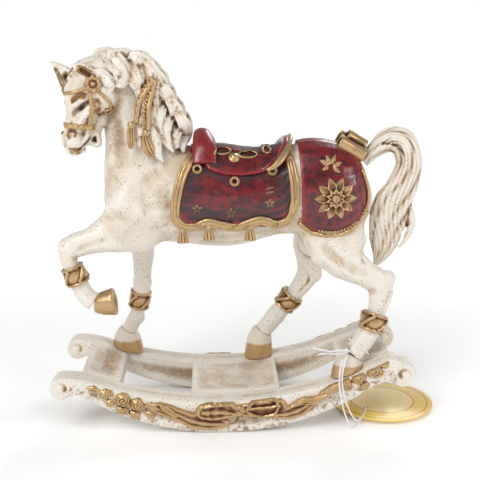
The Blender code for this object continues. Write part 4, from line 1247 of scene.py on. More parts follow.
@dataclass
class RockerRelief:
    """Roses at both ends of a rocker and a ribbon bow between them."""

    face_y: float = 33.0
    runner_x: float = -4.5
    runner_rise: float = 135.76
    runner_radius: float = 136.0
    deck_x: float = -7.5
    deck_rise: float = 210.6
    deck_radius: float = 192.5
    front_middle: Point = (-58.5, 18.6)
    front_roses: Rows = (
        (-57.4, 20.2, 4.3), (-50.2, 17.4, 4.0), (-58.6, 14.6, 3.0), (-51.6, 11.8, 3.2), (-66.8, 23.4, 3.2),
        (-64.2, 18.4, 2.4)
    )
    front_leaves: Rows = (
        (-69.0, 24.8, 8.0, 2.2, 160.0), (-62.0, 22.4, 6.0, 2.0, 150.0), (-46.6, 12.4, 8.0, 2.2, -16.0),
        (-46.6, 16.6, 7.0, 2.0, 4.0), (-54.4, 14.8, 5.0, 2.0, 215.0)
    )
    rear_middle: Point = (67.5, 30.0)
    rear_roses: Rows = (
        (74.4, 34.4, 4.4), (66.4, 30.6, 4.1), (59.6, 27.4, 3.4), (69.6, 26.2, 2.8), (79.6, 38.2, 2.6)
    )
    rear_leaves: Rows = (
        (57.0, 25.2, 7.0, 2.0, 196.0), (71.0, 31.4, 6.0, 1.8, 24.0), (63.4, 26.0, 5.0, 1.8, 205.0),
        (75.4, 32.0, 5.0, 1.8, 20.0)
    )
    bow_middle: Point = (4.0, 14.0)
    ribbons: Strokes = (
        ([(-27.5, 9.6, 0.9), (-19, 5.4, 1.15), (-10, 3.6, 1.0), (-1.5, 3.6, 0.5)], 3.7, 1.7, 0.04),
        ([(-36, 15.4, 0.5), (-33, 12.4, 1.0), (-28, 9.0, 0.8)], 1.8, 2.3, 0.02),
        ([(3, 9.6, 0.5), (-3, 10.6, 1.0), (-9, 10.6, 1.1), (-13.2, 10.4, 0.9)], 4.7, 2.4, 0.06),
        ([(-12.6, 13.6, 0.8), (-7.0, 15.2, 1.0), (-1.0, 14.8, 0.8)], 1.5, 3.0, 0.02),
        ([(4, 12, 0.7), (1, 14.6, 1.0), (-1.0, 18.4, 0.6)], 2.0, 2.4, 0.03),
        ([(6, 11, 0.6), (12, 11.0, 0.9), (19, 11.6, 1.1), (26.4, 12.8, 0.9)], 4.8, 1.5, 0.04),
        ([(25, 8.4, 0.7), (31, 8.8, 1.0), (38, 11.4, 1.1), (44.5, 16.2, 0.6)], 3.6, 1.6, 0.05),
        ([(33, 13.0, 0.5), (39, 15.8, 1.0), (46, 16.4, 1.0), (53, 20.8, 0.7)], 2.0, 2.2, 0.05),
        ([(49, 20.0, 0.6), (54, 22.4, 1.0), (59, 25.8, 0.6)], 2.0, 2.0, 0.08)
    )

    def on_face(self, x: Array, z: Array) -> Array:
        """Whether places lie on the rocker's face, between its runner and its deck."""
        runner = self.runner_rise - np.sqrt(
            np.clip(self.runner_radius**2 - (x - self.runner_x) ** 2, 0.0, None)
        )
        deck = self.deck_rise - np.sqrt(np.clip(self.deck_radius**2 - (x - self.deck_x) ** 2, 0.0, None))
        return (z > runner + 0.5) & (z < deck - 0.4)

    def lay(self, middle: Point, side: Side) -> Callable:
        """How a patch lies on the rocker's outer face."""

        def place(u: Array, v: Array) -> tuple[Array, Array]:
            """Points and normals of the flat face."""
            points = np.stack(
                [u + middle[0], np.full_like(u, side.value * self.face_y), v + middle[1]], axis=1
            )
            return points, np.tile([0.0, float(side.value), 0.0], (len(u), 1))

        return place

    def within(self, heights: Callable, middle: Point) -> Callable:
        """Heights that stop at the edges of the rocker's face."""

        def trimmed(u: Array, v: Array) -> Array:
            """The heights on the face, and nothing beyond it."""
            return np.where(self.on_face(u + middle[0], v + middle[1]), heights(u, v), -1.0)

        return trimmed

    def spray(self, middle: Point, roses: Rows, leaves: Rows) -> Callable:
        """Heights of a spray of roses and leaves."""

        def heights(u: Array, v: Array) -> Array:
            """The highest of all the flowers and leaves."""
            x, z = u + middle[0], v + middle[1]
            high = np.full_like(u, -1.0)
            for at_x, at_z, length, width, turn in leaves:
                high = np.maximum(high, leaf(x - at_x, z - at_z, length, width, turn))
            for at_x, at_z, radius in roses:
                high = np.maximum(high, rose(x - at_x, z - at_z, radius))
            return high

        return heights

    def bow(self, u: Array, v: Array) -> Array:
        """Heights of the ribbon, its two loops, its knot and its forked ends."""
        x, z = u + self.bow_middle[0] + 2.0, v + self.bow_middle[1] - 2.4
        high = band(
            x, z, [(-42, 14.5, 0.4), (-38, 13.0, 1.0), (-32, 11.4, 1.1), (-26, 8.4, 1.1)], 3.2, 1.5, 0.03
        )
        for line, half, top, folds in self.ribbons:
            high = np.maximum(high, band(x, z, line, half, top, folds))
        loop = [
            (9.5, 12.0, 1), (14, 16.4, 1), (20, 17.6, 1), (25.4, 16.0, 1), (24, 13.2, 1), (17, 12.4, 1),
            (9.5, 12, 1)
        ]
        high = np.maximum(high, band(x, z, loop, 0.85, 2.4))
        lower = [(9.0, 11.0, 1), (12.5, 8.6, 1), (18, 7.4, 1), (24, 8.8, 1), (26.4, 13.6, 1)]
        high = np.maximum(high, band(x, z, lower, 0.8, 2.2))
        knot = dome((x - 5.9) / 1.15, z - 10.8, 3.3, 2.6) - 0.5 * np.exp(
            -(((x - 5.9) * 0.9 + (z - 10.8)) ** 2)
        )
        return np.maximum(high, np.where(np.hypot((x - 5.9) / 1.15, z - 10.8) < 3.3, knot, -1.0))

    def build(self) -> None:
        """The relief on both rockers."""
        for side in Side:
            word = side.name.lower()
            jobs = (
                (
                    "front_roses", self.front_middle, (34.0, 27.0),
                    self.spray(self.front_middle, self.front_roses, self.front_leaves)
                ),
                (
                    "rear_roses", self.rear_middle, (34.0, 25.0),
                    self.spray(self.rear_middle, self.rear_roses, self.rear_leaves)
                ),
                ("ribbon_swag", self.bow_middle, (106.0, 30.0), self.bow)
            )
            for name, middle, (width, height), heights in jobs:
                relief = Relief(width, height).build(self.within(heights, middle), self.lay(middle, side))
                skin = relief.raw().relax(1)
                skin.finish(f"{word}_{name}_relief", Slot.GOLD, f"{word}_{name}")


# ---- the horse ----
@dataclass
class Head:
    """Places on the head, which is turned to the horse's left."""

    yaw: float = 33.0
    stations: Rows = (
        (-72.0, -6.0, 191.4, 5.6, 5.4), (-71.2, -6.4, 187.2, 10.2, 7.4), (-69.6, -7.2, 181.5, 14.2, 8.6),
        (-69.4, -8.0, 176.0, 15.2, 9.0), (-69.9, -9.0, 171.0, 13.9, 8.6), (-73.3, -10.4, 166.0, 10.0, 7.4),
        (-75.3, -11.6, 161.0, 8.8, 6.5), (-76.8, -12.4, 156.5, 7.6, 6.4), (-76.8, -13.0, 152.5, 6.2, 6.0),
        (-76.7, -13.4, 149.0, 4.3, 4.8), (-76.6, -13.6, 146.8, 1.6, 2.2)
    )

    def basis(self) -> tuple[Array, Array]:
        """The way the face looks, and the way to its left cheek."""
        turn = math.radians(self.yaw)
        return (
            np.array([-math.cos(turn), -math.sin(turn), 0.0]),
            np.array([math.sin(turn), -math.cos(turn), 0.0])
        )

    def axis(self, z: float) -> Array:
        """The middle of the head at a height."""
        rows = np.array(self.stations)[::-1]
        return np.array([np.interp(z, rows[:, 2], rows[:, 0]), np.interp(z, rows[:, 2], rows[:, 1]), z])

    def at(self, front: float, left: float, z: float) -> Array:
        """A place by how far it is in front of and to the left of the head's middle."""
        face, cheek = self.basis()
        return self.axis(z) + front * face + left * cheek

    def line(self, rows: Rows, side: Side) -> list[Array]:
        """Places along a line, on the left side or mirrored to the right."""
        return [self.at(front, -side.value * left, z) for front, left, z in rows]

    def on(self, skin: Surface, row: Point, side: Side, lift: float) -> tuple[Vector, Vector]:
        """The place on the skin straight out from the head's middle through a place."""
        start = Vector(self.at(row[0] * 3, -side.value * row[1] * 3, row[2]))
        found = skin.cast(start, Vector(self.axis(row[2])) - start)
        point, normal = found if found else (
            Vector(self.at(row[0], -side.value * row[1], row[2])), Vector((0, -1, 0))
        )
        return point + normal * lift, normal

    def rings(self) -> Array:
        """The skull and muzzle as rings round the middle line."""
        face, cheek = self.basis()
        rows = smooth_line(self.stations, 4)
        angle = np.arange(28) * math.tau / 28
        centres = rows[:, None, :3]
        forward = (rows[:, 3:4] * np.cos(angle))[:, :, None] * face
        sideways = (rows[:, 4:5] * np.sin(angle))[:, :, None] * cheek
        return centres + forward + sideways


@dataclass
class Horse:
    """Barrel, neck, head and legs, which were cast in one."""

    head: Head = field(default_factory=Head)
    voxel: float = 0.82
    nodes: tuple[str, ...] = ("torso", "left_foreleg", "right_foreleg", "left_hind_leg", "right_hind_leg")
    neck: Rows = (
        (-40.0, 0.0, 110.0, 20.0, 13.0), (-42.5, 0.0, 124.0, 23.4, 15.6), (-44.0, 0.0, 137.0, 22.8, 14.8),
        (-46.0, -0.6, 150.0, 20.0, 13.0), (-49.5, -1.4, 162.0, 16.6, 11.4), (-53.5, -2.4, 173.0, 14.2, 10.2),
        (-58.5, -3.6, 182.5, 11.6, 9.2), (-64.5, -5.0, 187.5, 8.6, 8.0), (-70.0, -6.0, 188.5, 5.5, 5.5)
    )
    lumps: Rows = (
        (-52.0, -12.5, 116.0, 14.0, 7.6, 19.0, 24.0), (-50.0, 12.5, 114.0, 12.0, 7.6, 19.0, 10.0),
        (-60.5, -5.5, 112.5, 6.4, 8.0, 9.5, 0.0), (-60.5, 5.5, 112.5, 6.0, 8.0, 9.5, 0.0),
        (-57.0, -13.2, 106.0, 10.5, 6.6, 8.0, 15.0), (-84.6, -14.0, 97.6, 6.2, 5.4, 6.0, 0.0),
        (-50.0, 19.4, 68.4, 5.6, 5.4, 5.6, 0.0), (50.0, -13.2, 94.0, 9.0, 7.2, 9.0, 30.0),
        (60.0, -13.6, 92.0, 11.0, 7.8, 9.0, 20.0), (82.4, -17.2, 80.2, 4.6, 4.2, 4.6, 0.0),
        (47.6, 18.2, 72.6, 5.4, 5.0, 5.6, 0.0), (70.2, -22.6, 47.6, 5.8, 5.4, 5.2, 0.0),
        (26.8, 22.9, 45.6, 5.8, 5.2, 5.4, 0.0), (-54.2, 22.2, 46.0, 4.9, 4.9, 4.6, 0.0),
        (47.0, 9.0, 95.0, 9.0, 7.0, 10.0, 20.0), (60.0, -10.6, 102.0, 13.0, 8.0, 10.0, 10.0),
        (58.0, -13.0, 98.5, 13.0, 8.4, 7.0, 0.0), (50.0, -10.5, 102.0, 12.0, 8.0, 9.0, 0.0),
        (56.0, 11.0, 104.0, 14.0, 8.0, 12.0, 10.0), (-48.0, -10.0, 104.0, 13.0, 8.4, 11.0, 0.0),
        (-66.0, -12.4, 106.5, 9.0, 6.6, 7.6, 20.0)
    )
    jaw: Rows = (
        (-63.4, -6.2, 171.0, 5.0, 5.4), (-67.0, -8.0, 164.0, 4.6, 4.8), (-69.4, -9.4, 158.0, 3.8, 4.2),
        (-69.0, -10.0, 153.6, 3.4, 4.0), (-68.4, -10.4, 151.0, 2.9, 3.4), (-68.4, -10.6, 149.3, 1.2, 1.6)
    )
    near_ear: Rows = (
        (-66.4, -12.6, 180.6, 3.4, 2.6), (-69.4, -13.8, 185.0, 4.3, 2.8), (-73.2, -14.4, 188.4, 3.4, 2.3),
        (-76.6, -14.4, 190.4, 1.7, 1.3), (-79.0, -14.2, 191.4, 0.4, 0.4)
    )
    far_ear: Rows = (
        (-78.6, -8.6, 175.5, 4.6, 3.0), (-80.6, -8.0, 181.6, 5.1, 3.0), (-83.5, -6.0, 186.0, 4.4, 2.6),
        (-87.8, -3.0, 189.8, 2.3, 1.7), (-92.2, 0.0, 192.4, 0.4, 0.4)
    )
    creases: tuple[Rows, ...] = (
        ((34.0, -15.0, 101.0), (50.0, -18.0, 103.0), (66.0, -19.0, 104.0), (76.0, -15.0, 108.0)),
        ((34.0, 15.0, 101.0), (50.0, 18.0, 103.0), (66.0, 19.0, 104.0), (76.0, 15.0, 108.0)),
        ((-60.0, -13.0, 132.0), (-45.0, -16.0, 137.0), (-28.0, -19.0, 146.0)),
        ((-60.0, 13.0, 132.0), (-45.0, 16.0, 137.0), (-28.0, 19.0, 146.0)),
        ((-66.0, -12.0, 110.0), (-56.0, -17.0, 109.0), (-46.0, -18.0, 103.0), (-40.0, -16.0, 96.0)),
        ((-64.0, 12.0, 110.0), (-54.0, 17.0, 108.0), (-46.0, 18.0, 100.0), (-40.0, 16.0, 96.0))
    )
    eye: Point = (8.7, 6.2, 170.2)
    face_cuts: Strokes = (
        ([(10.4, 5.2, 167.2), (8.7, 6.4, 170.0), (6.0, 7.2, 173.0)], 3.4, -1.5, 0.0, 0.45),
        ([(12.4, 4.8, 170.6), (10.2, 6.4, 174.0), (6.2, 7.8, 175.8)], 2.3, 1.7, 0.18, 0.0),
        ([(11.4, 4.6, 165.4), (8.2, 7.0, 167.2), (4.4, 8.2, 171.4)], 1.5, 0.9, 0.18, 0.0),
        ([(3.0, 8.4, 168.6), (4.6, 7.0, 163.6), (4.8, 6.2, 158.6)], 2.4, 1.1, 0.18, 0.0),
        ([(9.6, 4.0, 165.4), (8.2, 4.6, 160.4), (7.0, 4.4, 157.0)], 2.2, -0.8, 0.2, 0.4),
        ([(0.6, 7.4, 166.8), (0.4, 6.6, 160.0), (0.6, 6.0, 156.0)], 2.2, -0.7, 0.2, 0.5),
        ([(6.8, 2.4, 154.6), (6.2, 3.8, 157.0), (3.6, 5.4, 156.4), (2.4, 5.8, 153.4)], 1.7, 1.5, 0.1, 0.0),
        ([(6.0, 3.0, 154.8), (4.8, 4.6, 153.6), (4.2, 4.9, 151.8)], 1.9, -2.6, 0.0, 1.2),
        ([(-4.6, 4.8, 155.6), (-1.4, 5.8, 152.4), (2.4, 4.8, 149.8), (4.6, 2.0, 148.6)], 1.2, -1.3, 0.1, 0.9),
        ([(-3.0, 5.4, 157.0), (0.4, 6.2, 154.0), (3.6, 4.8, 151.4)], 1.5, 0.9, 0.18, 0.0)
    )
    face_gilding: Strokes = (
        ([(13.0, 3.0, 172.4), (10.4, 6.0, 175.0), (6.0, 8.0, 177.0)], 3.6, 0.62),
        ([(3.2, 8.2, 176.0), (1.0, 8.4, 170.0), (-1.0, 8.0, 166.0)], 4.6, 0.55),
        ([(-5.0, 8.0, 178.0), (-6.0, 8.0, 171.0), (-3.0, 7.0, 165.0)], 3.6, 0.52),
        ([(9.6, 3.6, 164.0), (7.6, 5.0, 159.0), (4.0, 5.6, 156.0)], 4.6, 0.6),
        ([(6.6, 2.0, 151.0), (4.0, 4.4, 149.0), (0.0, 5.0, 150.0)], 3.2, 0.6)
    )
    body_cuts: Strokes = (
        ([(-37.0, 19.0, 141.0), (-48.0, 20.0, 129.0), (-58.0, 17.0, 114.0)], 7.5, -0.8, 0.0),
        ([(-36.0, 21.0, 132.0), (-32.0, 21.0, 116.0), (-38.0, 20.0, 104.0)], 6.5, -0.6, 0.05),
        ([(-59.0, 9.0, 168.0), (-56.0, 12.0, 152.0), (-58.0, 13.0, 136.0)], 6.0, -0.7, 0.05)
    )
    leg_cuts: Strokes = (
        ([(-67.0, 0.0, 124.0), (-68.0, 0.0, 114.0), (-62.0, 0.0, 104.0)], 4.2, -1.2, 0.3),
        ([(-63.0, -19.0, 104.0), (-72.0, -20.0, 101.0), (-81.0, -20.0, 98.0)], 3.6, -0.8, 0.12),
        ([(-86.0, -18.0, 99.0), (-84.0, -19.6, 96.0), (-82.0, -19.0, 93.0)], 2.6, 0.5, 0.0),
        ([(-80.0, -19.0, 92.0), (-79.4, -19.0, 84.0), (-77.8, -19.0, 76.0)], 2.0, -0.5, 0.15),
        ([(-46.2, 15.0, 84.0), (-47.2, 16.0, 74.0)], 2.4, -0.5, 0.15),
        (
            [(46.0, -21.0, 101.0), (53.0, -22.0, 93.0), (63.0, -22.0, 87.0), (73.0, -22.0, 83.0)], 5.0, -1.0,
            0.0
        ),
        ([(74.0, -20.0, 103.0), (69.6, -21.0, 95.0), (71.0, -22.0, 88.0)], 3.6, -1.0, 0.25),
        ([(84.4, -22.0, 76.0), (81.8, -23.4, 68.0), (79.0, -24.0, 60.0)], 2.2, -0.9, 0.25),
        ([(42.6, 14.4, 80.0), (44.6, 15.0, 70.0), (38.0, 16.0, 60.0)], 2.6, -0.8, 0.4),
        ([(33.0, -16.0, 104.0), (40.0, -15.0, 96.0), (46.0, -13.0, 90.0)], 5.0, -0.7, 0.15),
        ([(70.0, -28.0, 48.0), (66.0, -28.0, 44.0), (62.0, -28.0, 40.0)], 2.4, -0.6, 0.2)
    )
    shadows: Strokes = (
        ([(-58.0, -9.0, 172.0), (-56.5, -11.0, 160.0), (-60.0, -9.0, 148.0)], 7.0, 0.55),
        ([(-63.0, -4.0, 168.0), (-64.0, 0.0, 152.0)], 6.0, 0.3),
        ([(-50.0, -12.0, 190.0), (-52.0, -13.0, 180.0), (-50.0, -14.0, 172.0)], 6.0, 0.8),
        ([(-72.0, -10.0, 96.0), (-60.0, -8.0, 98.0), (-50.0, -6.0, 96.0)], 5.0, 0.4),
        ([(-48.0, 8.0, 98.0), (-46.0, 11.0, 84.0), (-48.0, 15.0, 70.0)], 6.0, 0.45),
        ([(0.0, 0.0, 95.0), (24.0, 0.0, 98.0), (44.0, 2.0, 92.0)], 9.0, 0.3),
        ([(50.0, 8.0, 88.0), (50.0, 12.0, 78.0), (46.0, 14.0, 70.0)], 6.5, 0.7),
        ([(40.0, 15.0, 62.0), (30.0, 18.0, 52.0)], 4.0, 0.4),
        ([(62.0, -12.0, 82.0), (70.0, -12.0, 76.0), (74.0, -14.0, 64.0)], 3.4, 0.6),
        ([(74.0, -18.0, 112.0), (72.0, -20.0, 100.0), (68.0, -21.0, 90.0)], 5.0, 0.5),
        (
            [(-26.0, -18.0, 110.0), (-10.0, -18.0, 108.0), (10.0, -18.0, 106.0), (28.0, -18.0, 108.0)], 6.0,
            0.45
        ),
        ([(-30.0, -20.0, 110.0), (-32.0, -20.0, 126.0), (-24.0, -20.0, 144.0)], 4.0, 0.4)
    )
    gilding_shade: float = 0.18
    crease_reach: float = 13.0
    crease_passes: int = 120

    def face(self, skin: Skin) -> None:
        """Eyes, brows, cheeks, nostrils and lips on both sides."""
        for side in Side:
            line = self.head.line
            # The shade column darkens each cut as painted shade: eye sockets, nostrils and lips.
            for rows, radius, depth, fade, shade in self.face_cuts:
                skin.stroke(line(rows, side), radius, depth, fade, shade)
            for rows, radius, amount in self.face_gilding:
                skin.gild(line(rows, side), radius, 0.0, amount)
                skin.darken(line(rows, side), radius, self.gilding_shade)
        # Mouth and chin grooves, darkened inside as painted shade.
        skin.stroke([(-67.4, -15.0, 155.0), (-68.6, -13.0, 153.6), (-70.6, -8.0, 152.8)], 2.4, -3.2, 0.0, 1.6)
        skin.stroke([(-73.4, -20.0, 149.6), (-72.0, -13.0, 149.4), (-72.6, -6.0, 149.4)], 1.9, -2.4, 0.0, 0.7)

    def ears(self, skin: Skin) -> None:
        """The hollow of each ear and its rim."""
        # Each ear's hollow is darkened inside as painted shade.
        skin.stroke([(-78.4, -13.0, 178.6), (-80.6, -11.4, 182.6), (-84.4, -9.0, 186.8)], 3.6, -3.4, 0.1, 0.8)
        skin.stroke([(-75.6, -11.0, 180.6), (-79.0, -9.0, 187.0), (-86.0, -5.4, 190.8)], 1.5, 0.5)
        skin.gild([(-83.4, -11.0, 177.0), (-85.6, -9.0, 184.0), (-90.0, -4.0, 190.6)], 3.0, 0.0, 0.6)
        skin.stroke(
            [(-67.4, -17.0, 183.0), (-70.4, -17.6, 186.6), (-74.6, -17.0, 189.2)], 2.3, -2.0, 0.1, 0.8
        )
        skin.stroke([(-66.0, -16.0, 186.0), (-71.0, -15.6, 190.4), (-77.0, -14.4, 191.6)], 1.4, 0.5)
        skin.gild([(-66.0, -16.0, 184.0), (-70.0, -17.0, 187.0), (-77.0, -15.0, 190.4)], 3.6, 0.0, 0.62)

    def muscles(self, skin: Skin) -> None:
        """Muscle and tendon lines on the neck, chest and legs."""
        # The shade column of both tables darkens each groove as painted shade.
        for side in (-1, 1):
            for line, radius, depth, shade in self.body_cuts:
                skin.stroke([(x, side * y, z) for x, y, z in line], radius, depth, 0.25, shade)
        for line, radius, depth, shade in self.leg_cuts:
            skin.stroke(line, radius, depth, 0.2, shade)

    def shade_washes(self, skin: Skin) -> None:
        """Painted shade: a brown tone brushed where shadows fall, under the jaw, the mane, the belly and the
        saddle cloth, and between the legs.
        """
        for line, radius, amount in self.shadows:
            skin.darken(line, radius, amount)
            mirrored = [(x, -y, z) for x, y, z in line]
            if line[0][2] < 130.0 and abs(line[0][1]) > 5.0:
                skin.darken(mirrored, radius, amount * 0.8)

    def cast(self) -> Skin:
        """The horse's skin with its face, ears, muscles and painted shade."""
        clay = Clay().node(*self.nodes).limb(self.neck, 32, 5).sleeve(self.head.rings())
        clay.limb(self.jaw, 18, 4).limb(self.near_ear, 18, 4).limb(self.far_ear, 18, 4)
        for x, y, z, long, wide, tall, turn in self.lumps:
            clay.ball((x, y, z), (long, wide, tall), turn)
        for side in Side:
            clay.ball(self.head.at(-2.6, -side.value * 4.6, 175.0), (8.8, 6.4, 8.2), 10.0)
            clay.ball(self.head.at(3.4, -side.value * 3.0, 153.6), (4.6, 4.6, 4.6))
        clay.ball(self.head.at(2.6, 0.0, 149.6), (5.0, 5.2, 3.6))
        skin = clay.cast(self.voxel, 26)
        skin.soften(self.creases, self.crease_reach, self.crease_passes)
        skin = self.refine(skin)
        self.face(skin)
        self.ears(skin)
        self.muscles(skin)
        skin.relax(1)
        self.shade_washes(skin)
        return skin

    def refine(self, skin: Skin) -> Skin:
        """Split the faces of the head finer, for its small features."""
        skin.store()
        shape = bmesh.new()
        shape.from_mesh(skin.mesh)
        edges = [
            edge for edge in shape.edges if min(v.co.z for v in edge.verts) > 145.0
            and edge.verts[0].co.x < -55.0
        ]
        bmesh.ops.subdivide_edges(shape, edges=edges, cuts=1, use_grid_fill=True)
        data = mesh_of(shape, "refined")
        return Skin(data).relax(2)

    def eyes(self, skin: Surface) -> None:
        """The glossy eyeballs, set in their sockets."""
        for side in Side:
            point, normal = self.head.on(skin, self.eye, side, -0.6)
            place = facing(point, normal, 35.0 * -side.value)
            profile = [
                (1.9 * math.cos(angle), 1.35 * math.sin(angle))
                for angle in np.linspace(math.pi / 2, -math.pi / 2, 15)
            ]
            ball = Clay().turned(profile, place @ Matrix.Diagonal((1.05, 0.72, 0.85, 1.0))).raw()
            word = side.name.lower()
            ball.finish(word + "_eyeball", Slot.EYE, word + "_eye")

    def build(self) -> Surface:
        """The casting and its eyes.

        Returns:
            The skin, for what lies on it.
        """
        skin = self.cast()
        surface = Surface.of(skin)
        skin.finish("horse_casting", Slot.IVORY, *self.nodes, "head_and_neck")
        self.eyes(surface)
        return surface


@dataclass
class Hair:
    """Mane, forelock and tail, modelled as heavy combed locks."""

    voxel: float = 0.46
    crest: Rows = (
        (-67.0, -5.4, 188.6, 4.0, 6.6), (-60.0, -4.0, 190.4, 5.4, 8.2), (-51.0, -2.5, 188.4, 7.4, 10.0),
        (-44.6, -1.5, 181.6, 8.0, 11.2), (-40.0, -1.0, 172.6, 7.8, 11.8), (-36.4, -0.5, 163.5, 7.4, 12.2),
        (-32.4, 0.0, 155.0, 5.6, 11.6), (-28.0, 0.0, 148.4, 3.4, 10.0)
    )
    locks: Rows = (
        (
            (-70.0, 190.8, 2.4), (-64.0, 195.0, 3.4), (-58.0, 193.0, 3.9), (-54.0, 188.2, 3.6),
            (-54.4, 182.6, 2.6), (-57.6, 181.0, 0.6)
        ),
        (
            (-60.4, 195.8, 2.0), (-54.0, 194.6, 3.4), (-49.6, 190.6, 4.0), (-47.2, 184.2, 3.8),
            (-46.4, 180.6, 2.6), (-45.2, 177.4, 0.6)
        ),
        (
            (-50.0, 195.6, 2.0), (-44.9, 193.0, 3.4), (-42.1, 187.2, 3.8), (-41.7, 182.6, 3.4),
            (-44.1, 175.6, 2.4), (-47.0, 169.0, 0.6)
        ),
        (
            (-43.6, 194.6, 1.8), (-39.4, 188.2, 3.2), (-37.8, 183.0, 3.4), (-38.6, 174.0, 3.0),
            (-40.2, 164.0, 2.0), (-39.7, 156.6, 0.6)
        ),
        (
            (-38.9, 188.0, 1.8), (-35.8, 184.0, 3.0), (-35.0, 176.0, 3.3), (-36.2, 167.0, 2.8),
            (-36.1, 158.6, 1.8), (-33.9, 151.4, 0.6)
        ),
        (
            (-36.1, 182.2, 1.6), (-32.2, 176.6, 3.0), (-31.6, 168.6, 3.2), (-33.2, 160.6, 2.7),
            (-32.2, 152.6, 1.8), (-29.2, 147.4, 0.6)
        ),
        (
            (-32.0, 175.6, 1.6), (-27.6, 168.6, 2.9), (-27.0, 161.6, 3.1), (-28.6, 155.0, 2.5),
            (-27.4, 149.0, 1.2)
        ),
        (
            (-27.8, 168.6, 1.6), (-23.6, 161.6, 2.6), (-23.2, 155.6, 2.7), (-24.6, 150.4, 1.6),
            (-24.0, 146.6, 0.6)
        ),
        (
            (-68.0, 187.2, 1.4), (-63.4, 186.0, 2.4), (-60.0, 182.2, 2.3), (-59.4, 179.8, 1.6),
            (-61.0, 176.4, 0.5)
        ),
        (
            (-46.4, 180.4, 1.6), (-43.3, 172.0, 2.6), (-43.6, 163.6, 2.6), (-46.0, 156.0, 1.8),
            (-45.7, 150.0, 0.5)
        ),
        ((-40.2, 160.4, 1.6), (-38.1, 153.6, 2.4), (-36.9, 147.4, 1.8), (-34.2, 143.0, 0.5))
    )
    tail: Rows = (
        (70.6, 0.0, 139.5, 3.0, 3.4), (77.0, 0.0, 146.4, 4.4, 4.4), (84.0, 0.0, 151.4, 6.4, 5.4),
        (91.6, 0.0, 149.4, 7.2, 6.0), (95.2, -0.4, 139.4, 7.0, 6.4), (92.4, -0.8, 128.0, 8.4, 6.9),
        (87.6, -1.0, 118.0, 10.6, 7.4), (84.6, -1.0, 108.0, 10.4, 7.2), (83.6, -1.0, 99.5, 8.6, 6.4),
        (82.4, -0.6, 91.0, 5.2, 4.8), (79.6, 0.0, 83.0, 1.4, 1.6)
    )
    forelock: Rows = (
        (-68.0, -6.6, 193.2, 2.2, 3.0), (-73.5, -9.0, 191.4, 2.3, 3.2), (-77.8, -11.4, 187.4, 2.1, 2.8),
        (-80.0, -13.6, 182.6, 1.5, 2.0), (-80.8, -15.0, 178.6, 0.4, 0.6)
    )

    def mane(self) -> Surface:
        """The locks on both sides of the neck."""
        neck = Surface("mane", "head_and_neck")
        clay = Clay().limb(self.crest, 28, 5)
        paths = []
        for side in Side:
            for lock in self.locks:
                rows = []
                for x, z, width in lock:
                    point, _ = neck.beside(x, z, side, 0.3 * width)
                    rows.append((x, point.y, z, width * 1.35, width * 0.74))
                clay.limb(rows, 28, 7, ridges=5, cut=0.16, twist=0.16)
                paths.append((np.array(rows)[:, :3], lock[1][2]))
        skin = clay.cast(self.voxel, 4)
        for line, width in paths:
            skin.comb(line, width * 1.6, 4, 0.3, 0.1)
        skin.relax(5)
        skin.hollow_scale = 1.1
        for line, _ in paths[::3]:
            skin.gild(line, 4.0, 0.0, 0.42)
        # Painted shade on the neck's sides, under the locks.
        for side in (-1, 1):
            skin.darken(
                [(-38.0, side * 14.0, 182.0), (-44.0, side * 16.0, 166.0), (-43.0, side * 16.0, 152.0)], 4.6,
                0.45
            )
            skin.darken(
                [(-57.0, side * 12.0, 183.0), (-50.0, side * 13.0, 178.0), (-47.0, side * 14.0, 172.0)], 4.0,
                0.5
            )
        surface = Surface.of(skin)
        skin.finish("mane_locks", Slot.IVORY, "mane")
        return surface

    def tail_locks(self) -> None:
        """Twisted strands round the tail's core, split at the tip."""
        rows = smooth_line(self.tail, 4)
        clay = Clay().limb([(*row[:3], row[3] * 0.72, row[4] * 0.72) for row in self.tail], 24, 5)
        run = unit(np.gradient(rows[:, :3], axis=0))
        fore = unit(np.cross([0.0, 1.0, 0.0], run))
        strands = 7
        for strand in range(strands):
            wander = []
            for index, row in enumerate(rows):
                share = index / (len(rows) - 1)
                angle = math.tau * (strand / strands + 0.55 * share) + 0.25 * math.sin(9 * share + strand)
                spread = 0.62 + 0.12 * max(share - 0.75, 0.0) * 4
                offset = fore[index] * row[3] * math.cos(angle) * spread
                point = row[:3] + offset + np.array([0.0, row[4] * math.sin(angle) * spread, 0.0])
                thin = 0.46 * (1 - 0.35 * share * ((strand * 0.37) % 1.0))
                wander.append((*point, row[3] * thin, row[4] * thin))
            clay.limb(wander, 16, 2)
        clay.limb(
            [
                (96.2, -2.0, 116.0, 1.6, 2.0), (97.6, -3.2, 108.0, 2.2, 2.4), (95.6, -3.4, 100.0, 1.8, 2.2),
                (91.4, -3.0, 93.0, 0.6, 0.8)
            ],
            14
        )
        skin = clay.cast(self.voxel, 3)
        skin.comb(self.tail, 16.0, 9, 0.5, 0.22)
        skin.comb(self.tail, 16.0, 23, 0.16, 0.2)
        skin.relax(2)
        # Painted shade in the deep groove between strands, under the tail's root and in its inner curve
        # against the quarters.
        skin.stroke([(95.8, -5.0, 118.0), (93.4, -6.4, 108.0), (92.2, -6.0, 96.0)], 1.5, -2.4, 0.2, 1.0)
        skin.stroke([(78.6, -4.0, 150.2), (86.0, -4.6, 149.0), (92.0, -5.0, 143.0)], 1.4, -0.9, 0.2, 0.3)
        skin.darken([(73.0, 0.0, 140.0), (78.0, 0.0, 143.0), (84.0, 0.0, 145.0)], 3.6, 0.5)
        skin.darken([(80.0, -3.0, 122.0), (80.0, -4.0, 110.0), (80.0, -4.0, 98.0)], 4.0, 0.4)
        skin.hollow_scale = 1.1
        skin.finish("tail_locks", Slot.IVORY, "tail")

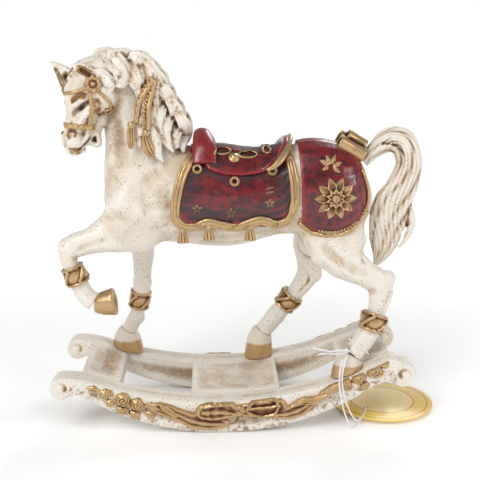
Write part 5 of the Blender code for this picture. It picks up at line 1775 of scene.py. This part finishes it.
    def build(self) -> Surface:
        """Mane, tail and forelock.

        Returns:
            The mane's skin, for the cords that lie on it.
        """
        surface = self.mane()
        self.tail_locks()
        front = Clay().limb(self.forelock, 28, 8, ridges=5, cut=0.16, twist=0.1).cast(self.voxel, 2)
        front.gild(np.array(self.forelock)[:, :3], 4.0, 0.0, 0.5)
        front.finish("forelock_lock", Slot.IVORY, "forelock")
        return surface


# ---- gilded feet ----
@dataclass
class Feet:
    """Hooves and the wrapped cuffs above them."""

    voxel: float = 0.42
    hooves: tuple[str, ...] = ("left_fore_hoof", "right_fore_hoof", "left_hind_hoof", "right_hind_hoof")
    cuffs: Rows = (
        ("left_foreleg_cuff", (-84.0, -14.1, 88.6), (-79.8, -14.5, 77.8), 6.1),
        ("right_foreleg_cuff", (-50.7, 20.2, 63.6), (-53.0, 21.5, 52.0), 6.0),
        ("left_hind_cuff", (77.1, -19.2, 62.2), (73.3, -21.4, 52.0), 6.9),
        ("right_hind_cuff", (37.4, 20.5, 60.2), (30.6, 22.0, 51.2), 6.7)
    )

    def ring(self, centre: Array, axis: Array, radius: float) -> list[Point]:
        """A circle square to an axis."""
        fore = unit(np.cross([0.0, 1.0, 0.0], axis))
        side = np.cross(axis, fore)
        angles = np.arange(20) * math.tau / 20
        return [tuple(centre + radius * (fore * math.cos(a) + side * math.sin(a))) for a in angles]

    def cuff(self, name: str, top: Point, foot: Point, radius: float) -> None:
        """A bandage in slanting folds between two beaded rims."""
        top, foot = np.array(top), np.array(foot)
        axis = unit(foot - top)
        rows = []
        for share, grow in ((0.1, -0.7), (0.3, -0.2), (0.5, 0.1), (0.7, -0.2), (0.9, -0.7)):
            rows.append((*(top + (foot - top) * share), radius + grow, radius + grow))
        clay = Clay().limb(rows, 40, 3)
        for share, grow in ((0.12, -0.5), (0.88, -0.5)):
            clay.rope(self.ring(top + (foot - top) * share, axis, radius + grow), 0.8, 3.0, 2, True)
        for fold in range(4):
            angle = math.tau * fold / 4
            ends = []
            for share in (0.2, 0.5, 0.8):
                turn = angle + 1.5 * share
                fore = unit(np.cross([0.0, 1.0, 0.0], axis))
                side = np.cross(axis, fore)
                bulge = radius - 0.3 + 0.4 * math.sin(math.pi * share)
                point = top + (foot - top) * share + bulge * (fore * math.cos(turn) + side * math.sin(turn))
                ends.append((*point, 0.9, 0.9))
            clay.limb(ends, 10, 4)
        skin = clay.cast(self.voxel, 1)
        skin.hollow_scale = 1.2
        skin.finish(name.replace("_cuff", "") + "_wrap", Slot.GOLD, name)

    def hoof(self, name: str) -> None:
        """A hoof, gilt below a bare ivory top on all but the left fore, and darker towards the ground."""
        points = node_points(name)
        low, high = points.min(axis=0), points.max(axis=0)
        skin = Clay().node(name).cast(0.65, 34)
        middle = (low + high) / 2
        rise = (skin.points[:, 2] - low[2]) / (high[2] - low[2])
        if name != "left_fore_hoof":
            skin.gilt = -1.1 * np.clip((rise - 0.42) / 0.2, 0.0, 1.0)
        skin.darken([(low[0], middle[1], low[2]), (high[0], middle[1], low[2])], 9.0, 0.75)
        skin.finish(name + "_gilt", Slot.GOLD, name)

    def build(self) -> None:
        """All four feet."""
        for name in self.hooves:
            self.hoof(name)
        for name, top, foot, radius in self.cuffs:
            self.cuff(name, top, foot, radius)


# ---- saddlery ----
@dataclass
class Saddlery:
    """The enamelled saddle and cloths with their gilt trims."""

    voxel: float = 0.52
    hem: Rows = (
        (-19.4, 145.6), (-24.3, 137.3), (-27.4, 127.2), (-28.6, 117.4), (-26.4, 111.4), (-19.4, 109.9),
        (-12.2, 112.6), (-4.9, 111.2), (2.7, 109.8), (9.4, 112.2), (15.5, 113.6), (23.0, 111.2),
        (29.0, 113.2), (32.0, 121.0), (32.2, 131.9), (30.4, 142.0), (28.4, 148.6)
    )
    rump_hem: Rows = (
        (35.0, 111.6), (40.8, 106.6), (47.1, 104.6), (53.9, 104.2), (61.2, 106.8), (66.6, 111.2),
        (69.8, 116.6)
    )
    rump_edge: Rows = ((69.8, 116.6), (71.0, 123.0), (70.2, 130.0), (67.6, 137.6))
    flap: Rows = (
        (-18.4, 144.6), (-15.4, 140.6), (-8.2, 137.0), (1.8, 135.2), (12.0, 136.5), (18.5, 140.3),
        (22.6, 143.6)
    )
    tassels: Rows = ((-25.0, 109.8), (-11.6, 112.0), (9.4, 111.8))
    ring_studs: Rows = ((-17.3, 139.0), (1.6, 133.1), (21.0, 137.9))
    dome_stud: Point = (1.5, 144.4)
    seat_loops: Rows = ((-4.4, 147.2, 4.2, 1.3), (8.6, 145.4, 4.7, 1.3), (18.6, 147.2, 2.0, 1.2))
    stars: Rows = ((-17.5, 119.7), (-0.3, 117.4), (19.5, 122.4))
    pommel: Rows = arch(
        ((-13.4, -18.0, 142.4, 1.2, 6.0), (-13.6, -13.4, 148.6, 2.6, 6.2), (-14.4, -7.0, 153.0, 3.1, 5.2)),
        (-14.8, 0.0, 155.2, 3.1, 4.5)
    )
    rim: Rows = arch(
        (
            (17.6, -22.4, 139.6, 0.5, 0.8), (21.0, -21.4, 140.8, 1.1, 1.4), (25.0, -18.8, 144.2, 1.3, 1.9),
            (28.6, -13.8, 149.0, 1.1, 1.6), (30.8, -7.0, 152.6, 1.0, 1.3)
        ),
        (31.4, 0.0, 153.8, 1.0, 1.2)
    )
    cantle: Rows = arch(
        ((22.8, -18.6, 141.4, 1.0, 1.2), (25.6, -15.4, 146.4, 1.5, 1.7), (28.4, -8.6, 150.6, 1.9, 2.0)),
        (29.2, 0.0, 152.0, 2.0, 2.1)
    )

    def along(self, surface: Surface, line: Rows, side: Side, lift: float) -> list[Vector]:
        """A drawn line laid on one side of a surface."""
        return [surface.beside(x, z, side, lift)[0] for x, z in line]

    def cloth(self) -> None:
        """The saddle cloth with its painted stars."""
        skin = Clay().node("saddle_cloth").cast(self.voxel, 2)
        on = Surface("saddle_cloth")
        for side in Side:
            # Darker towards the hem; painted shadow on the cloth just under the saddle flap's edge.
            skin.darken(self.along(on, self.hem, side, 0.0), 13.0, 1.5)
            skin.darken(self.along(on, self.flap, side, 0.0), 5.0, 1.1)
            for x, z in self.stars:
                for arm in range(5):
                    angle = math.radians(90 + 72 * arm)
                    tip, _ = on.beside(x + 2.6 * math.cos(angle), z + 2.6 * math.sin(angle), side)
                    root, _ = on.beside(x + 0.5 * math.cos(angle), z + 0.5 * math.sin(angle), side)
                    skin.gild([root, tip], 0.75)
            for low in (127.4, 129.4):
                skin.gild(self.along(on, [(17.2, low), (19.6, low + 0.5), (22.0, low + 0.9)], side, 0.0), 0.7)
        skin.finish("saddle_cloth_enamel", Slot.RED, "saddle_cloth")

    def beside_hem(self, gap: float) -> list[Point]:
        """The hem moved inwards, or outwards for a minus gap."""
        line = smooth_line([(x, z) for x, z in self.hem], 3)
        run = unit(np.gradient(line, axis=0))
        inward = np.stack([-run[:, 1], run[:, 0]], axis=1)
        return [tuple(point) for point in line + inward * gap]

    def tassel(self, clay: Clay, top: Vector, length: float, spread: float) -> None:
        """A cord end: a neck, a knob and a skirt of threads."""
        x, y, z = top
        clay.ball((x, y, z - 0.8), (1.5, 1.3, 1.2))
        clay.limb(
            [
                (x, y, z - 1.4, 1.1, 1.0), (x, y, z - 2.2, 1.6, 1.3),
                (x, y, z - 0.6 * length, spread * 0.85, 1.4), (x, y, z - length, spread, 1.5)
            ],
            60, 6, ridges=9, cut=0.3, twist=0.05
        )

    def trims(self) -> None:
        """Corded hems with tassels, and the beaded hem of the rump cloth."""
        cloth, rump = Surface("saddle_cloth", "torso"), Surface("rump_cloth", "torso")
        for side in Side:
            word = side.name.lower()
            clay = Clay()
            for gap, radius in ((-1.55, 0.85), (0.0, 0.6), (1.55, 0.85)):
                line = self.along(cloth, self.beside_hem(gap), side, 0.8)
                clay.limb([(*point, radius + (0.7 if gap == 0 else 0.0), radius) for point in line], 14, 4)
            for x, z in self.tassels:
                top, _ = cloth.beside(x, z, side, 0.7)
                self.tassel(clay, top - Vector((0, 0, 1.0)), 7.4, 3.2)
            clay.raw(1.6).finish(word + "_cloth_cord", Slot.GOLD, word + "_cloth_trim")

            clay = Clay()
            line = self.along(rump, self.rump_hem, side, 0.5)
            line = [point + Vector((0.0, side.value * 0.5, 0.0)) for point in line]
            clay.rope(line, 1.35, 3.4, 2)
            clay.beads([point + Vector((0.0, side.value * 0.2, 2.0)) for point in line], 0.8)
            edge = self.along(rump, self.rump_edge, side, 0.5)
            clay.limb([(*point, 0.8, 0.8) for point in edge], 10, 5)
            clay.raw(1.6).finish(word + "_rump_cord", Slot.GOLD, word + "_rump_trim")

    def saddle(self) -> Surface:
        """Seat, flaps, pommel arch and cantle."""
        clay = Clay().node("saddle")
        over = Surface("saddle", "torso")
        for side in Side:
            roll = self.along(over, self.flap, side, 0.1)
            clay.limb([(*point, 1.25, 1.25) for point in roll], 14, 4)
        clay.limb(self.pommel, 20, 5, guide=(1.0, 0.0, 0.0)).limb(self.cantle, 16, 5, guide=(1.0, 0.0, 0.0))
        skin = clay.cast(self.voxel, 12)
        # Painted shade in the seat's groove and under the flap roll's edge; the middle of the seat is
        # darkened too.
        for side in Side:
            seat = self.along(over, [(-12.0, 146.4), (-2.0, 147.4), (10.0, 145.8), (20.0, 147.0)], side, 0.0)
            skin.stroke(seat, 1.4, -0.5, 0.1, 0.6)
            skin.darken(self.along(over, self.flap, side, 0.0), 2.4, 0.4)
        skin.darken([(-12.0, 0.0, 151.0), (6.0, 0.0, 149.0), (24.0, 0.0, 150.0)], 12.0, 1.1)
        surface = Surface.of(skin)
        skin.finish("saddle_enamel", Slot.RED, "saddle")
        return surface

    def fittings(self, saddle: Surface) -> None:
        """Studs, seat loops and the gilt edge of the cantle."""
        cloth = Surface("saddle_cloth", "saddle")
        ring = [
            (0.0, 0.25), (0.9, 0.25), (1.25, 1.35), (1.9, 1.7), (2.5, 1.2), (2.75, 0.0), (2.0, -0.5),
            (0.0, -0.5)
        ]
        boss = [
            (0.0, 2.2), (1.1, 2.0), (1.9, 1.2), (2.3, 0.8), (2.9, 0.7), (3.1, 0.0), (2.0, -0.5), (0.0, -0.5)
        ]
        clay = Clay()
        for side in Side:
            for x, z in self.ring_studs:
                clay.turned(ring, facing(*cloth.beside(x, z, side)))
                point, normal = cloth.beside(x, z, side)
                for step in range(12):
                    place = facing(point, normal, 30.0 * step) @ Matrix.Translation((2.1, 0.0, 1.45))
                    bmesh.ops.create_icosphere(clay.shape, subdivisions=2, radius=0.5, matrix=place)
            clay.turned(boss, facing(*saddle.beside(*self.dome_stud, side)))
            for x, z, long, tall in self.seat_loops:
                loop = []
                for step in range(16):
                    angle = math.tau * step / 16
                    point, _ = saddle.beside(
                        x + long * math.cos(angle), z + tall * math.sin(angle), side, 0.35
                    )
                    loop.append((*point, 0.55, 0.55))
                clay.limb(loop, 10, 2, closed=True)
        clay.raw(1.3).finish("saddle_studs", Slot.GOLD)
        skin = Clay().limb(self.rim, 20, 6, guide=(1.0, 0.0, 0.0)).cast(0.4, 1)
        skin.finish("cantle_gilt_rim", Slot.GOLD, "cantle_rim")

    def build(self) -> None:
        """Cloth, saddle and fittings."""
        self.cloth()
        self.trims()
        self.fittings(self.saddle())


@dataclass
class Crupper:
    """The rump cloth with its flower, its flame and the rolled bow."""

    voxel: float = 0.52
    flower: Point = (53.2, 124.3)
    flower_radius: float = 11.0
    flame: Point = (50.6, 141.6)
    rolls: Rows = (
        ((56.2, -5.2, 151.2), (69.6, -5.2, 143.6)), ((57.6, 4.6, 152.6), (70.2, 4.6, 145.2)),
        ((60.8, -0.6, 153.6), (70.6, -0.6, 147.6))
    )
    roll_radius: float = 4.3
    flame_leaves: Rows = (
        (-0.5, -0.6, 5.6, 1.2, 155.0), (0.0, -0.4, 5.0, 1.2, 115.0), (0.6, -0.4, 5.2, 1.2, 62.0),
        (1.0, -1.2, 5.6, 1.2, 18.0), (1.2, -1.6, 4.8, 1.1, -38.0), (-1.0, -1.4, 3.8, 1.0, 205.0)
    )

    def cloth(self) -> None:
        """The enamelled cloth, dark towards its hem."""
        skin = Clay().node("rump_cloth").cast(self.voxel, 2)
        on = Surface("rump_cloth")
        for side in Side:
            edge = [
                on.beside(x, z, side)[0] for x,
                z in ((36.0, 112.0), (47.0, 105.0), (58.0, 105.0), (69.0, 115.0))
            ]
            skin.darken(edge, 4.0, 0.6)
            front = [on.beside(x, z, side)[0] for x, z in ((35.0, 146.0), (35.0, 130.0), (36.0, 114.0))]
            skin.darken(front, 5.0, 0.6)
        skin.darken([(38.0, 0.0, 153.0), (50.0, 0.0, 153.0), (62.0, 0.0, 148.0)], 8.0, 0.5)
        skin.finish("rump_cloth_enamel", Slot.RED, "rump_cloth")

    def wrap(self, on: Surface, middle: Point, side: Side) -> Callable:
        """How a patch hugs the rump."""

        def place(u: Array, v: Array) -> tuple[Array, Array]:
            """Points and normals of the cloth under each kept place."""
            points = np.zeros((len(u), 3))
            normals = np.tile([0.0, float(side.value), 0.0], (len(u), 1))
            for index in range(len(u)):
                point, normal = on.beside(middle[0] + u[index], middle[1] + v[index], side)
                points[index] = point
                normals[index] = (normal + Vector((0.0, float(side.value), 0.0))).normalized()
            return points, normals

        return place

    def petals(self, u: Array, v: Array) -> Array:
        """Ten outlined petals over ten shorter ones, round a boss."""
        outer = lobes(u, v, 10, self.flower_radius, 2.15, 1.0, 0.5)
        step = math.radians(18)
        turned = u * math.cos(step) - v * math.sin(step), u * math.sin(step) + v * math.cos(step)
        inner = lobes(*turned, 10, self.flower_radius * 0.46, 1.2, 0.6, 1.0)
        high = np.maximum(outer, inner)
        high = np.maximum(high, dome(u, v, 2.3, 2.2))
        return np.where((dome(u, v, 1.2, 1.0) > 0), 1.5, high)

    def flames(self, u: Array, v: Array) -> Array:
        """A tuft of small leaves."""
        high = np.full_like(u, -1.0)
        for at_u, at_v, length, width, turn in self.flame_leaves:
            high = np.maximum(high, leaf(u - at_u, v - at_v, length, width, turn))
        return high

    def bow(self) -> None:
        """Three rolls of gilt cloth with open ends."""
        clay = Clay()
        for start, end in self.rolls:
            start, end = np.array(start), np.array(end)
            axis = unit(end - start)
            place = facing(start, axis)
            long = float(np.linalg.norm(end - start))
            wide = self.roll_radius
            profile = [
                (0.0, 0.9), (wide * 0.62, 0.9), (wide * 0.72, 0.1), (wide * 0.9, -0.1), (wide, 0.4),
                (wide * 0.94, long * 0.5), (wide, long - 0.4), (wide * 0.9, long + 0.1),
                (wide * 0.72, long - 0.1), (wide * 0.62, long - 0.9), (0.0, long - 0.9)
            ]
            clay.turned(profile, place)
        skin = clay.cast(0.42, 1)
        skin.darken([(54.4, -2.0, 154.6), (56.4, -7.0, 150.2)], 2.6, 0.8)
        skin.finish("crupper_rolls", Slot.GOLD, "crupper_bow")

    def build(self) -> None:
        """Cloth, flower, flame and bow."""
        self.cloth()
        on = Surface("rump_cloth", "torso")
        for side in Side:
            word = side.name.lower()
            patch = Relief(23.0, 23.0, 0.3)
            skin = patch.build(self.petals, self.wrap(on, self.flower, side)).raw(1.4)
            skin.finish(word + "_rump_flower", Slot.GOLD, word + "_rump_rosette")
            skin = Relief(14.0, 12.0, 0.28).build(self.flames, self.wrap(on, self.flame, side)).raw()
            skin.finish(word + "_rump_flame", Slot.GOLD)
        self.bow()


# ---- bridle and cords ----
@dataclass
class Bridle:
    """Browband, rosettes, cheek straps, noseband and throat strap."""

    head: Head = field(default_factory=Head)
    rosette: Point = (4.2, 9.6, 181.7)
    rosette_radius: float = 4.6
    brow: Rows = ((15.0, 0.05, 177.0), (12.3, 4.2, 177.6), (8.8, 6.6, 178.9), (6.0, 8.4, 180.4))
    cheek: Rows = (
        (5.9, 8.4, 177.4), (4.6, 8.4, 173.4), (2.6, 8.0, 169.4), (0.6, 7.4, 165.4), (-1.6, 6.6, 161.4)
    )
    throat: Rows = ((1.6, 9.0, 178.4), (-1.0, 8.6, 175.4), (-3.4, 8.8, 172.6), (-5.4, 8.8, 170.0))
    nose_height: float = 160.4
    nose_reach: Point = (4.3, 3.5)

    def strap(self, clay: Clay, skin: Surface, line: Rows, side: Side, rows: int) -> None:
        """A band edged with rows of beads."""
        points = [self.head.on(skin, row, side, 0.25)[0] for row in line]
        clay.limb([(*point, 0.9, 0.6) for point in points], 12, 4)
        for index in range(rows):
            shift = (index - (rows - 1) / 2) * 1.4
            shifted = [self.head.on(skin, (row[0] + shift, row[1], row[2]), side, 0.4)[0] for row in line]
            clay.beads(shifted, 0.62)

    def build(self, skin: Surface) -> None:
        """The whole bridle on the head's skin."""
        for side in Side:
            word = side.name.lower()
            clay = Clay()
            self.strap(clay, skin, self.cheek, side, 2)
            self.strap(clay, skin, self.throat, side, 1)
            ring_at, normal = self.head.on(skin, (-6.2, 8.6, 168.6), side, 0.6)
            ring = [
                (*(facing(ring_at, normal) @ Vector((1.5 * math.cos(a), 1.5 * math.sin(a), 0.0))), 0.5, 0.5)
                for a in np.arange(12) * math.tau / 12
            ]
            clay.limb(ring, 10, 2, closed=True)
            clay.raw(1.4).finish(word + "_cheek_beads", Slot.GOLD, word + "_cheek_strap")

            point, normal = self.head.on(skin, self.rosette, side, 0.0)
            place = facing(point, normal)

            def lay(u: Array, v: Array) -> tuple[Array, Array]:
                """A flat patch on the rosette's plane."""
                spots = np.array([place @ Vector((a, b, 0.4)) for a, b in zip(u, v)])
                return spots, np.tile(np.array(normal), (len(u), 1))

            def heights(u: Array, v: Array) -> Array:
                """Eight petals, a ring and a boss."""
                high = lobes(u, v, 8, self.rosette_radius, 1.5, 0.7, 0.9)
                high = np.maximum(high, dome(u, v, 2.5, 1.3))
                return np.maximum(high, dome(u, v, 1.5, 2.4))

            flower = Relief(10.4, 10.4, 0.26, 1.2).build(heights, lay).raw(1.4)
            flower.finish(word + "_bridle_flower", Slot.GOLD, word + "_bridle_rosette")
        clay = Clay()
        for side in Side:
            self.strap(clay, skin, self.brow, side, 1)
        ring = []
        upper = []
        for step in range(15):
            angle = math.radians(-126 + 18 * step)
            front, left = self.nose_reach[0] * math.cos(angle), self.nose_reach[1] * math.sin(angle)
            height = self.nose_height + 0.8 * math.cos(angle)
            point, _ = self.head.on(skin, (front, left, height), Side.LEFT, 0.0)
            ring.append((*point, 0.6, 1.2))
            point, _ = self.head.on(skin, (front, left, height + 1.1), Side.LEFT, 0.3)
            upper.append(tuple(point))
        clay.limb(ring, 14, 3, guide=(0.0, 0.0, 1.0))
        clay.beads(upper, 0.62)
        clay.raw(1.4).finish("noseband_and_browband", Slot.GOLD, "noseband")


@dataclass
class ManeCords:
    """Two gilt braids with tassels on each side of the neck."""

    front: Rows = ((-37.6, 184.6), (-41.4, 179.3), (-44.7, 173.4), (-46.8, 167.7), (-48.8, 163.4))
    rear: Rows = ((-37.2, 183.8), (-39.4, 177.0), (-41.1, 169.5), (-41.7, 163.0), (-41.6, 159.4))

    def build(self, mane: Surface) -> None:
        """All four braids."""
        for side in Side:
            for word, line, lean, spread in (("front", self.front, -0.6, 2.7), ("rear", self.rear, 1.6, 4.0)):
                clay = Clay()
                points = [mane.beside(x, z, side, 0.9)[0] for x, z in line]
                beside = [mane.beside(x - 1.9, z - 0.4, side, 0.8)[0] for x, z in line]
                clay.rope(points, 1.45, 3.4, 2)
                clay.beads(beside, 0.95)
                x, z = line[-1]
                y = mane.beside(x, z, side, 1.2)[0].y
                clay.ball((x - 0.6, y, z - 1.6), (2.2, 1.7, 1.8))
                clay.limb(
                    [
                        (x - 0.6, y, z - 2.6, 1.5, 1.4), (x - 0.8, y, z - 4.4, 2.2, 1.7),
                        (x - 0.8 + lean * 0.4, y + side.value * 0.3, z - 8.0, spread * 0.8, 1.7),
                        (x - 0.8 + lean, y + side.value * 0.3, z - 11.0, spread * 0.72, 1.2),
                        (x - 0.4 + lean * 1.6, y + side.value * 0.3, z - 13.4, spread * 0.3, 0.6)
                    ],
                    66, 6, ridges=9, cut=0.36, twist=0.08
                )
                skin = clay.raw(1.5)
                name = f"{side.name.lower()}_{word}_mane_cord"
                skin.finish(name.replace("mane_cord", "braid"), Slot.GOLD, name)


def dress_pins() -> None:
    """Give the hidden pins, which keep their own shape, a steel finish."""
    for name in ("left_hind_pin", "right_fore_pin", "right_hind_pin"):
        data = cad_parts[name].data
        data.materials.clear()
        data.materials.append(PAINTS.made[Slot.STEEL])


def main() -> None:
    """Build the studio, the string and then the figurine from its base up."""
    logging.basicConfig(level=logging.INFO, format="%(message)s")
    studio = Studio()
    studio.camera()
    SwingTag().build()
    studio.build()
    Rockers().build()
    RockerRelief().build()
    body = Horse().build()
    mane = Hair().build()
    Feet().build()
    Saddlery().build()
    Crupper().build()
    Bridle().build(body)
    ManeCords().build(mane)
    dress_pins()


if __name__ == "__main__":
    main()
